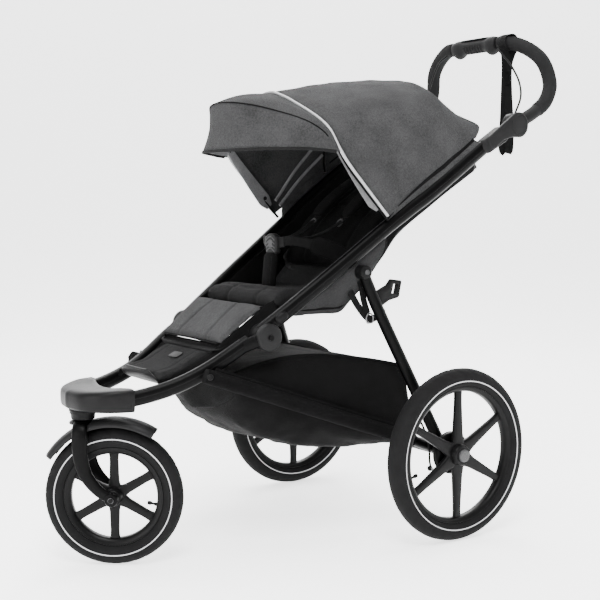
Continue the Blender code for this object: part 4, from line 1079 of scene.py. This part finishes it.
def visor():
    count = 33
    back = whole(mm([(235, -265, 892), (234, -278, 915), (224.5, -289.5, 940), (188, -298.5, 967.5),
        (112, -301.5, 1001), (57, -300.5, 1020.5), (0, -296.5, 1032)]), count)
    mid = whole(mm([(236, -267, 891.5), (234.5, -283, 915), (224.5, -299, 942), (189, -319, 970), (114, -346, 1002),
        (57, -362, 1018), (0, -368, 1025)]), count)
    brow = whole(mm([(236.5, -268, 891), (234, -288, 912), (224, -308, 938), (190, -339, 964), (115, -389, 991),
        (60, -420, 1003), (0, -432, 1007)]), count)
    nose = whole(mm([(236.5, -268.5, 890.8), (233, -290, 902), (222, -312, 918), (188, -345, 932), (115, -393, 948),
        (60, -421, 954), (0, -431, 956)]), count)
    lip = whole(mm([(236.5, -269, 890.5), (231, -298, 893), (208, -338, 896.5), (160, -383, 897.5),
        (118, -408, 897.5), (60, -429, 896.5), (0, -436, 896)]), count)
    rows = smooth_rows([back, mid, brow * 0.9 + mid * 0.1, brow * 0.85 + nose * 0.15, nose, lip], 31)
    rows = wrinkle(rows, 0.0022, 9.0, 1.0)
    panel("visor_cover", rows, "melange", "canopy_front", ["canopy_bow_front"], slot="melange",
        replaces=["canopy_visor"])
    sweep("visor_binding", rows[-1][1:-1], oval(0.0026, 0.0034, 2.4, 12), "charcoal", "canopy_front", up=None)
    edge = brow * 0.93 + nose * 0.07 + np.array([0, -0.001, 0.0014])
    sweep("visor_edge", edge[4:-4], oval(0.0016, 0.0016, 2, 10), "black", "canopy_front", up=None)
    inner = [rows[-1] + np.array([0, 0.004, 0.002]), whole(mm([(233, -266, 896), (224, -282, 906), (198, -303, 923),
        (160, -323, 940), (118, -339, 955), (60, -353, 968), (0, -358, 974)]), count),
        whole(mm([(229, -262, 900), (219, -272, 923), (185, -284, 950), (150, -288, 970), (112, -290, 989),
        (57, -289, 1009), (0, -285, 1020)]), count)]
    lining = wrinkle(smooth_rows(inner, 12), 0.003, 10.0, 5.0)
    panel("visor_lining", lining, "lining", "canopy_front", ["canopy_bow_front"], thickness=0.001)
    stitches("visor_seam", rows[-3][2:-2] + grid_normals(rows)[-3][2:-2] * 0.0005, "canopy_front")


visor()


def canopy_inside():
    """Cloth covers over the bow ends and the pleated lining panels on both sides."""
    for name, side in SIDES:
        cover = spline(mm([(223, -270, 908), (223.5, -235, 864), (224, -196, 818), (224.5, -162, 780),
            (224.8, -149, 766)]), 30)
        wide = np.interp(np.linspace(0, 1, 30), [0, 0.5, 0.88, 1], [0.009, 0.015, 0.019, 0.01])
        sections = np.array([oval(0.0016, w, 3.0, 20) for w in wide])
        sweep(f"bow_cover_{name}", flip(cover, side), sections, "lining", "canopy_front")
        eye = mm([(0, 1.2), (3.2, 1.2), (4.6, 0.8), (5, -0.4), (0, -0.4)])
        turned(f"bow_eyelet_{name}", eye, "plastic", "canopy_front", (side * 0.2222, -0.164, 0.788), (-side, 0, 0),
            28)
        for k, (a, b) in enumerate((((0.213, -0.138, 0.782), (0.215, -0.02, 0.918)),
                ((0.212, -0.126, 0.77), (0.214, 0.012, 0.902)))):
            line = spline([a, ((a[0] + b[0]) / 2 + 0.001, (a[1] + b[1]) / 2, (a[2] + b[2]) / 2 + 0.006), b], 24)
            sweep(f"canopy_pleat_{k}_{name}", flip(line, side), oval(0.0028, 0.004, 2.2, 14), "lining", "upper_frame")


canopy_inside()

# ---------------------------------------------------------------- seat


def seat_walls():
    ys = np.linspace(-0.37, 0.16, 34)
    low = mm([(-390, 540), (-310, 533), (-220, 534), (-164, 574), (-128, 616), (-55, 704), (85, 790), (208, 862)])
    for name, side in SIDES:
        rows = []
        for s, y in zip(np.linspace(0, 1, 34), ys):
            top = rail_at(y) + np.array([-0.0125, 0, -0.004])
            y_low = -0.38 + 0.57 * s
            bottom = np.array([0.176, y_low, np.interp(y_low, low[:, 0], low[:, 1]) + 0.004])
            row = [top * (1 - t) + bottom * t + np.array([-0.007 * math.sin(math.pi * t), 0, 0])
                for t in np.linspace(0, 1, 12)]
            rows.append(row)
        rows = flip(wrinkle(np.array(rows), 0.004, 11.0, 2.0), side)
        panel(f"seat_wall_{name}", rows, "black", "upper_frame", [f"upper_rail_tube_{name}"])
        stitches(f"seat_wall_seam_{name}", rows[2:-2, 2] + np.array([side * 0.001, 0, 0]), "upper_frame")
    stations = mm([(-380, 531), (-350, 527.5), (-310, 526.5), (-260, 526.5), (-217, 527.5), (-190, 544), (-164, 568),
        (-146, 588), (-130, 606), (-119, 620)])
    lines = []
    for y, z in stations:
        hold = rail_at(y + 0.004)
        half = [(hold[0] - 0.002, y + 0.004, hold[2] - 0.018), (hold[0] - 0.006, y + 0.003, (hold[2] + z) / 2),
            (0.174, y, z + 0.014), (0.162, y, z + 0.001), (0.12, y, z - 0.0005), (0.0, y, z - 0.001)]
        lines.append(whole(half, 22))
    rows = wrinkle(smooth_rows(lines, 30), 0.0025, 12.0, 4.0)
    panel("seat_sling", rows, "belly", "upper_frame", ["upper_rail_tube_left", "upper_rail_tube_right"],
        thickness=0.0014)
    for k in (0, -1):
        sweep(f"sling_hem_{'front' if k == 0 else 'rear'}", rows[k][1:-1], oval(0.0018, 0.004, 2.4, 12), "charcoal",
            "upper_frame", up=None)


seat_walls()


def padding():
    seat = spline(mm([(-384, 544), (-386, 560), (-372, 576), (-330, 580), (-260, 572), (-175, 573), (-158, 564),
        (-170, 548), (-220, 536), (-310, 536), (-384, 544)]), 60)[:-1]
    cushion = plate("seat_cushion", seat, rounded(-0.158, 0.158, 0.012), "charcoal", "upper_frame",
        slot="black_cloth", replaces=["seat_base"])
    puff(cushion, 0.006, 0.006)
    carve(cushion, [lambda p: np.abs(p[:, 0]) - 0.062, lambda p: p[:, 1] + 0.355], 0.0035, 0.005)
    back = spline(mm([(-125, 617), (-46, 706), (87, 792), (206, 866), (218, 886), (204, 903), (64, 833), (-76, 742),
        (-144, 650), (-141, 620), (-125, 617)]), 70)[:-1]
    rest = plate("backrest_pad", back, rounded(-0.16, 0.16, 0.012), "black", "backrest", slot="black_cloth",
        replaces=["backrest"])
    puff(rest, 0.006, 0.007)
    carve(rest, [lambda p: np.abs(p[:, 0]) - 0.08, lambda p: p[:, 1] + 0.6 * p[:, 2] - 0.42,
        lambda p: p[:, 1] + 0.6 * p[:, 2] - 0.56], 0.0045, 0.006)
    rows = []
    for s in np.linspace(0, 1, 16):
        y = -0.4 - 0.117 * s
        z = 0.556 - 0.088 * s + 0.003 * math.sin(math.pi * s)
        half = 0.149 - 0.015 * s
        rows.append([(half * x, y, z) for x in np.linspace(1, -1, 30)])
    rows = np.array(rows)
    n = grid_normals(rows)
    n *= np.sign(n[..., 2:])
    bulge = np.array([[0.0065 * (1 - abs(2 * i / 15 - 1) ** 6) * (1 - abs(2 * j / 29 - 1) ** 10) for j in range(30)]
        for i in range(16)])[..., None]
    top, low = rows + n * bulge, rows - n * bulge * 0.8
    verts = np.vstack([top.reshape(-1, 3), low.reshape(-1, 3)])
    grid = grid_faces(16, 30)
    faces = [tuple(f) for f in grid] + [tuple(i + 480 for i in reversed(f)) for f in grid]
    rim_line = [*range(30), *[i * 30 + 29 for i in range(1, 16)], *range(478, 449, -1),
        *[i * 30 for i in range(14, 0, -1)]]
    faces += [(a, a + 480, b + 480, b) for a, b in zip(rim_line, rim_line[1:] + rim_line[:1])]
    calf = make("calf_cushion", verts, faces, "pad", "front_frame", slot="melange", replaces=["calf_pad"])
    puff(calf, 0.004, 0.004)
    carve(calf, [lambda p: np.abs(p[:, 0] - 0.0) - 0.058 + 0.1 * (p[:, 2] - 0.51), lambda p: p[:, 1] + 0.412], 0.004,
        0.0035)
    foot = spline(mm([(-522, 455), (-560, 437), (-595, 420), (-644, 409), (-642, 399), (-590, 406), (-550, 425),
        (-516, 443), (-522, 455)]), 60)[:-1]
    toe = plate("footrest_cushion", foot, rounded(-0.097, 0.097, 0.005), "charcoal", "front_frame", slot="dark_cloth",
        replaces=["footrest_pad"])
    puff(toe, 0.003, 0.004)
    carve(toe, [lambda p: np.abs(p[:, 0]) - 0.06], 0.002, 0.003)
    hem = spline(mm([(121, -513, 472), (0, -519, 476), (-121, -513, 472)]), 30)
    sweep("calf_hem", hem, oval(0.006, 0.0014, 3, 14), "black", "front_frame")


padding()


def footwell():
    """Footrest shell, its dark side nets and the seat cloth that carries on to the front."""
    rows = []
    for y, z, half in mm([(-656, 418, 56), (-655.5, 410, 72), (-650, 400, 82), (-640, 392, 87), (-620, 386, 91),
            (-595, 384, 96), (-580, 383.5, 98)]):
        row = []
        for x in np.linspace(1, -1, 41):
            row.append((half * x, y + 0.006 * (abs(x) ** 4), z))
        rows.append(row)
    rows = smooth_rows(rows, 22)
    sheet_grid("footrest_shell", rows, "hub", "front_frame", 0.0032, 0.0, slot="grey_plastic",
        replaces=["footrest_plate"])
    rim_line = rows[0][2:-2]
    sweep("footrest_rim", rim_line, oval(0.003, 0.0024, 2.4, 14), "hub", "front_frame")
    for k, x in enumerate((-0.045, -0.0225, 0.0, 0.0225, 0.045)):
        rib = spline([(x, -0.65, 0.4045), (x, -0.635, 0.393), (x, -0.61, 0.389)], 12)
        sweep(f"footrest_rib_{k}", rib, oval(0.0022, 0.0016, 2, 10), "hub", "front_frame")
    edge = mm([(90, -648, 402), (93, -595, 415), (100, -525, 448), (126, -513, 471), (140, -404, 553),
        (142, -378, 564)])
    for name, side in SIDES:
        outer, inner = [], []
        for y in np.linspace(-0.648, -0.38, 40):
            outer.append(rail_at(y) + np.array([-0.011, 0, 0.004]))
            inner.append([np.interp(y, edge[:, 1], edge[:, k]) for k in range(3)])
        rows = np.array([np.array(outer) * (1 - t) + np.array(inner) * t + np.array([0, 0,
            -0.005 * math.sin(math.pi * t)]) for t in np.linspace(0, 1, 8)])
        rows = flip(wrinkle(rows, 0.002, 14, 6), side)
        panel(f"footwell_side_{name}", rows, "black", "front_frame", [f"lower_rail_tube_{name}"])
    band = []
    for y, z, half in (mm([(-501, 468, 133), (-517, 460, 131), (-524, 457, 115), (-521, 448, 104)])):
        band.append([(half * x, y - 0.0015 * (1 - x * x), z) for x in np.linspace(1, -1, 30)])
    band = smooth_rows(band, 9)
    panel("footwell_band", band, "charcoal", "front_frame", ["calf_cushion"], thickness=0.0014)
    for name, outline, high, rim_radius, rise, run, place, mat in (("footrest_tag", oval(0.02, 0.011, 5, 28), 0.0022,
            0.001, 0.036, 0.073, (0.018, -0.562, 0.4402), "plastic"), ("calf_tag", oval(0.012, 0.008, 5, 24), 0.0014,
            0.0006, 0.088, 0.117, (0.016, -0.47, 0.5125), "black")):
        verts, faces = pillow(outline, rounded(0.0, high, rim_radius), "z")
        tilt = Matrix.Rotation(math.atan2(rise, run), 3, "X")
        make(name, np.array([tilt @ Vector(v) for v in verts]) + np.array(place), faces, mat, "front_frame")


footwell()


def back_shell():
    """The outer skin of the seat back with its pale reflective specks."""
    outer = mm([(-130, 608), (-90, 650), (-45, 701), (30, 751), (87, 787), (150, 826), (208, 861)])
    lines = []
    for y, z in outer:
        lines.append(whole([(0.169, y - 0.018, z + 0.03), (0.1685, y - 0.008, z + 0.014), (0.165, y, z + 0.001),
            (0.12, y + 0.001, z - 0.002), (0.0, y + 0.002, z - 0.0045)], 20))
    rows = wrinkle(smooth_rows(lines, 34), 0.003, 10.0, 8.0)
    panel("seat_back_skin", rows, "speck", "backrest", ["backrest_pad"])


def speckled(name):
    n = Nodes(name, Sheen_Weight=0.01)
    cells = n.add("ShaderNodeTexVoronoi", {"Vector": n.coords}, Scale=150.0, Randomness=0.25)
    dots = n.ramp(cells.outputs["Distance"], (0.2, (1, 1, 1)), (0.26, (0, 0, 0)))
    patch = n.ramp(n.noise(9.0, 2.0), (0.46, (0, 0, 0)), (0.56, (1, 1, 1)))
    mask = n.math("MULTIPLY", dots, patch)
    n.colour(n.mix(mask, (0.0035, 0.0035, 0.0037, 1), (0.1, 0.1, 0.105, 1)))
    n.rough(cells.outputs["Distance"], 0.5, 0.85)
    return n.bump(cells.outputs["Distance"], 0.0002).material


MAT["speck"] = speckled("speckled_mesh")
back_shell()

# ---------------------------------------------------------------- harness


def ribbon(name, path, half, thick, mat, body, **more):
    return sweep(name, path, oval(half, thick, 4.0, 20), mat, body, **more)


def harness():
    crotch = spline(mm([(0, -301, 580), (0, -299, 608), (0, -295, 638), (0, -292.5, 660)]), 24)
    pad = [0.8, 0.96] + [1.0] * 18 + [1.0, 0.97, 0.9, 0.72]
    sweep("crotch_pad", crotch, oval(0.0215, 0.0115, 2.6, 28), "black", "upper_frame", up=(0, 1, 0), scale=pad,
        slot="webbing", replaces=["crotch_strap"])
    for k, x in enumerate((-0.0165, 0.0165)):
        stitches(f"crotch_seam_{k}", [(x, -0.3098, 0.59), (x, -0.306, 0.62), (x, -0.303, 0.654)], "upper_frame")
    y, z = -0.288, 0.682
    outline = mm([(-18, -24), (18, -24), (23.5, -8), (24, 6), (18, 19), (0, 24), (-18, 19), (-24, 6), (-23.5, -8)])
    outline = spline(np.vstack([outline, outline[:1]]), 64)[:-1]
    verts, faces = pillow(outline, rounded(-0.007, 0.007, 0.003), "z")
    verts = np.stack([verts[:, 0], y - verts[:, 2], z + verts[:, 1]], 1)
    make("buckle_shell", verts, faces, "hub", "upper_frame", slot="black_plastic", replaces=["harness_buckle"])
    for k in range(4):
        h = z - 0.013 + 0.009 * k
        line = spline([(0.0175, y - 0.0074, h - 0.006), (0, y - 0.0078, h + 0.003), (-0.0175, y - 0.0074, h - 0.006)],
            16)
        sweep(f"buckle_rib_{k}", line, oval(0.0013, 0.0016, 2, 10), "bushing", "upper_frame")
    coat("buckle_button", "bushing")
    for name, side in SIDES:
        waist = spline([(side * 0.02, y, z + 0.002), (side * 0.06, -0.275, 0.69), (side * 0.106, -0.235, 0.678),
            (side * 0.142, -0.182, 0.65), (side * 0.156, -0.152, 0.62)], 40)
        ribbon(f"waist_strap_{name}", waist, 0.0012, 0.011, "webbing", "upper_frame")
        pad = spline(flip(mm([(95, -245, 683), (130, -202, 664), (152, -162, 633)]), side), 20)
        ribbon(f"waist_pad_{name}", pad, 0.006, 0.021, "black", "upper_frame",
            scale=[0.55, 0.85] + [1.0] * 16 + [0.85, 0.55])
        tongue = spline([(side * 0.018, y - 0.001, z + 0.002), (side * 0.04, -0.283, 0.687)], 8)
        ribbon(f"buckle_tongue_{name}", tongue, 0.0022, 0.012, "plastic", "upper_frame")
        line = spline(flip(mm([(55, 115, 883), (56, 30, 846), (60, -60, 790), (56, -125, 735), (40, -195, 700),
            (20, -260, 694)]), side), 60)
        ribbon(f"shoulder_web_{name}", line, 0.0125, 0.0011, "webbing", "backrest", slot="webbing",
            replaces=[f"shoulder_strap_{name}"])
        pad = spline(line[4:38], 30)
        ribbon(f"shoulder_pad_{name}", pad + np.array([0, -0.003, 0.004]), 0.023, 0.007, "black", "backrest",
            scale=[0.5, 0.8, 0.95] + [1.0] * 24 + [0.95, 0.8, 0.5])
        k = line[40]
        t = full_turn(28)
        loop = k + 0.0095 * np.stack([np.cos(t), np.sin(t) * 0.5, np.sin(t) * 0.85], 1)
        sweep(f"harness_ring_{name}", loop, oval(0.0017, 0.0017, 2, 10), "bushing", "backrest", up=None, closed=True)


harness()

# ---------------------------------------------------------------- handlebar


def handlebar():
    half = spline(HANDLEBAR, 150)
    straight = np.stack([np.linspace(0.085, -0.085, 22)[1:-1], np.full(20, 0.36), np.full(20, 1.188)], 1)
    line = np.vstack([half, straight, flip(half[::-1], -1)])
    tube("bar_tube", spline(line, 220), 0.0115, "frame", "handlebar", 20, slot="frame", replaces=["handlebar_tube"])
    for name, side in SIDES:
        along = half[(half[:, 2] > 1.0055)]
        foam = spline(flip(along, side), 90)
        ripple = 1 + 0.01 * np.sin(np.arange(90) * 1.25)
        ripple[0], ripple[1], ripple[-2], ripple[-1] = 0.9, 0.97, 0.97, 0.9
        tube(f"foam_sleeve_{name}", foam, 0.0177, "foam", "handlebar", 32, scale=ripple, slot="foam",
            replaces=[f"foam_grip_{name}"])
        collar = spline(flip(half[(half[:, 2] > 0.979) & (half[:, 2] < 1.008)], side), 12)
        tube(f"foam_collar_{name}", collar, 0.0158, "grip", "handlebar", 28)
        route = mm([(96, 342, 1170), (120, 337, 1154), (148, 342, 1122), (172, 345, 1082), (193, 330, 1040),
            (214, 286, 990)])
        tube(f"brake_line_{name}", spline(flip(route, side), 90), 0.0026, "plastic", "handlebar", 12, slot="webbing",
            replaces=[f"brake_cable_{name}"])
        if side > 0:
            wrap = np.linspace(0, 2 * np.pi, 44)
            for k, shift in enumerate((0.0, 0.006, 0.011)):
                loop = np.stack([0.101 + shift + 0.011 * wrap / 6.3, 0.364 + 0.0202 * np.cos(wrap + k),
                    1.1865 + 0.0202 * np.sin(wrap + k)], 1)
                ribbon(f"strap_wrap_{k}", loop, 0.0012, 0.009, "webbing", "handlebar", up=(1, 0, 0))


handlebar()


def twist_grip():
    centre = np.array([0, BAR[1], BAR[2]])
    prof = mm([(15, 80), (17.8, 79.6), (19, 76), (20.5, 69), (21.2, 62), (20.4, 53), (18.2, 45), (17, 34), (16.8, 0),
        (17, -34), (18.2, -45), (20.4, -53), (21.2, -62), (20.5, -69), (19, -76), (17.8, -79.6), (15, -80)])
    fine = spline([(r, h, 0) for r, h in prof], 90)[:, :2]
    rings = turned_points(fine, centre, (1, 0, 0), 64)
    flat = rings - centre
    low = flat[..., 2] < 0
    lobes = np.exp(-((np.abs(flat[..., 0]) - 0.06) / 0.02) ** 2)
    flat[..., 2] = np.where(low, flat[..., 2] * (0.92 + 0.42 * lobes), flat[..., 2] * 0.94)
    rings = flat + centre
    rings[..., 2] = np.maximum(rings[..., 2], centre[2] - 0.029)
    make("twist_sleeve", *skin(rings), "grip", "brake_grip", slot="grey_plastic", replaces=["brake_grip"])
    outline = oval(0.056, 0.0115, 4.0, 48)
    verts, faces = pillow(outline, rounded(0.0, 0.0035, 0.0016), "z")
    verts = verts + centre + np.array([0, 0.0, 0.0155])
    make("grip_plate", verts, faces, "plastic", "brake_grip")
    for k in range(7):
        x = -0.03 + 0.01 * k
        arc = [(x, BAR[1] + 0.0172 * math.sin(a), BAR[2] + 0.0172 * math.cos(a)) for a in np.linspace(1.4, 4.88, 24)]
        sweep(f"grip_ridge_{k}", np.array(arc), oval(0.0014, 0.0009, 2, 10), "grip", "brake_grip", up=(1, 0, 0))


twist_grip()


def strap_loop():
    """The wrist strap: flat webbing down from the bar, a stitched block and a loop at the end."""
    front = spline(mm([(113, 345, 1180), (111, 356, 1156), (109, 361, 1125), (109, 360, 1070), (108, 359, 1000),
        (106, 358, 950), (104, 360, 916), (108, 366, 906), (116, 369, 912), (119, 368, 950), (117, 367, 1000),
        (113, 365, 1070), (112, 365, 1125), (115, 372, 1156), (116, 384, 1176)]), 140)
    ribbon("wrist_webbing", front, 0.001, 0.011, "webbing", "handlebar", up=(0.62, 0.78, 0), slot="webbing",
        replaces=["wrist_strap"])
    outline = oval(0.0105, 0.015, 5, 24)
    verts, faces = pillow(outline, rounded(-0.0045, 0.0045, 0.002), "z")
    verts = np.stack([verts[:, 0], -verts[:, 2], verts[:, 1]], 1) + np.array([0.111, 0.3625, 1.095])
    make("wrist_block", verts, faces, "black", "handlebar")


strap_loop()

# ---------------------------------------------------------------- basket


def tube_at(y):
    line = spline(SIDE_TUBE, 120)
    return np.array([np.interp(y, line[:, 1], line[:, k]) for k in range(3)])


def basket():
    stations = mm([(-495, 128, 396, 90, 323), (-480, 136, 406, 108, 300), (-450, 143, 416, 124, 274),
        (-408, 150, 427, 134, 254), (-350, 162, 435, 147, 236), (-270, 172, 434, 160, 219),
        (-170, 186, 420, 165, 206), (-100, 195, 406, 164, 202), (-52, 198, 394, 158, 203)])
    lines = []
    for y, rim, rim_z, floor, floor_z in stations:
        t = tube_at(y)
        side = t[0] - 0.0165
        half = [(rim, y, rim_z), ((rim + side) / 2 + 0.002, y, (rim_z + t[2]) / 2 + 0.01), (side, y, t[2] + 0.01),
            (side - 0.001, y, t[2] - 0.012), ((side + floor) / 2 + 0.01, y, (t[2] + floor_z) / 2 - 0.004),
            (floor + 0.008, y, floor_z + 0.01), (floor - 0.014, y, floor_z + 0.001), (floor / 2, y, floor_z - 0.004),
            (0, y, floor_z - 0.006)]
        lines.append(whole(half, 40))
    rows = wrinkle(wrinkle(smooth_rows(lines, 64), 0.0075, 7.5, 11.0), 0.0022, 26.0, 5.0)
    obj = panel("basket_bag", rows, "ripstop", "lower_frame", ["side_tube_smooth_left", "side_tube_smooth_right"],
        "hung", slot="black_cloth", replaces=["basket"])
    bow = np.sin(np.pi * np.linspace(0.02, 0.98, 24))

    def across(line, push):
        """Rows from the left to the right edge of an opening, bulged by push."""
        return wrinkle(np.array([[a * (1 - t) + b * t + push * w for t, w in zip(np.linspace(0, 1, 24), bow)] for a,
            b in zip(line[:38], line[::-1][:38])]), 0.003, 12, 3)

    back, nose = across(rows[-1], np.array([0, 0.01, 0])), across(rows[0], np.array([0, -0.016, -0.003]))
    face = panel("basket_front", nose, "ripstop", "lower_frame", ["basket_bag"], "hung")
    rear = panel("basket_back", back, "mesh", "lower_frame", ["basket_bag"], "hung", 0.0011)
    soft = [obj, rear, face]
    cover = []
    for i in np.linspace(0, len(rows) - 1, 26).astype(int):
        a, b = rows[i][0], rows[i][-1]
        sag = 0.01 * math.sin(math.pi * i / len(rows))
        cover.append([a * (1 - t) + b * t + np.array([0, 0, -sag * math.sin(math.pi * t) * 1.2 - 0.001])
            for t in np.linspace(0, 1, 30)])
    cover = wrinkle(np.array(cover), 0.004, 9.0, 2.0)
    soft.append(panel("basket_cover", cover, "black", "lower_frame", ["basket_bag"]))
    for name, side in SIDES:
        column = 0 if side > 0 else -1
        edge = rows[1:, column]
        soft.append(sweep(f"basket_rim_{name}", spline(edge, 70), oval(0.003, 0.0038, 2.3, 12), "black",
            "lower_frame", up=None))
        seam = rows[3:, 13 if side > 0 else -14] + grid_normals(rows)[3:, 13 if side > 0 else -14] * 0.0004
        soft.append(stitches(f"basket_seam_{name}", spline(seam, 40), "lower_frame"))
        line = flip(spline(SIDE_TUBE, 90), side)[1:80]
        line[0] = line[0] - (line[2] - line[1]) * 1.6
        sec = oval(0.014, 0.0165, 2.3, 26)
        wave = 1 + 0.02 * np.sin(np.arange(79) * 0.9) * np.sin(np.arange(79) * 0.23)
        wave[0], wave[-1] = 0.94, 0.94
        sweep(f"tube_sleeve_{name}", line, sec, "black", "lower_frame", scale=wave)
        fin = line + np.array([0, 0, 0.0185])
        sweep(f"sleeve_flap_{name}", fin[2:-3], oval(0.0016, 0.0058, 3, 14), "black", "lower_frame")
    for piece in soft:
        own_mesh(piece)


basket()


def rear_webbing():
    """The strap, ring and cord that hang by the left and right legs."""
    for name, side in SIDES:
        web = spline(flip(mm([(196, -190, 630), (195, -178, 596), (197, -170, 556), (199, -160, 525)]), side), 30)
        ribbon(f"leg_web_{name}", web, 0.0011, 0.0085, "webbing", "rear_frame", up=(0, 1, 0))
        t = full_turn(36)
        ring = np.stack([np.full(36, side * 0.1995), -0.154 + 0.01 * np.cos(t),
            0.512 + 0.0125 * np.clip(np.sin(t), -0.75, 1)], 1)
        sweep(f"leg_ring_{name}", ring, oval(0.0018, 0.0018, 2, 10), "steel", "rear_frame", up=None, closed=True)
        bow = spline(flip(mm([(196, -208, 576), (196, -185, 542), (198, -156, 513), (200, -130, 518),
            (204, -118, 535)]), side), 40)
        ribbon(f"leg_loop_{name}", bow, 0.0085, 0.0013, "webbing", "rear_frame", up=(1, 0, 0))
        buckle = oval(0.008, 0.011, 4, 28)
        verts, faces = pillow(buckle, rounded(-0.003, 0.003, 0.0014), "x", (0.204, -0.119, 0.503))
        make(f"leg_buckle_{name}", flip(verts, side), faces, "plastic", "rear_frame")


rear_webbing()
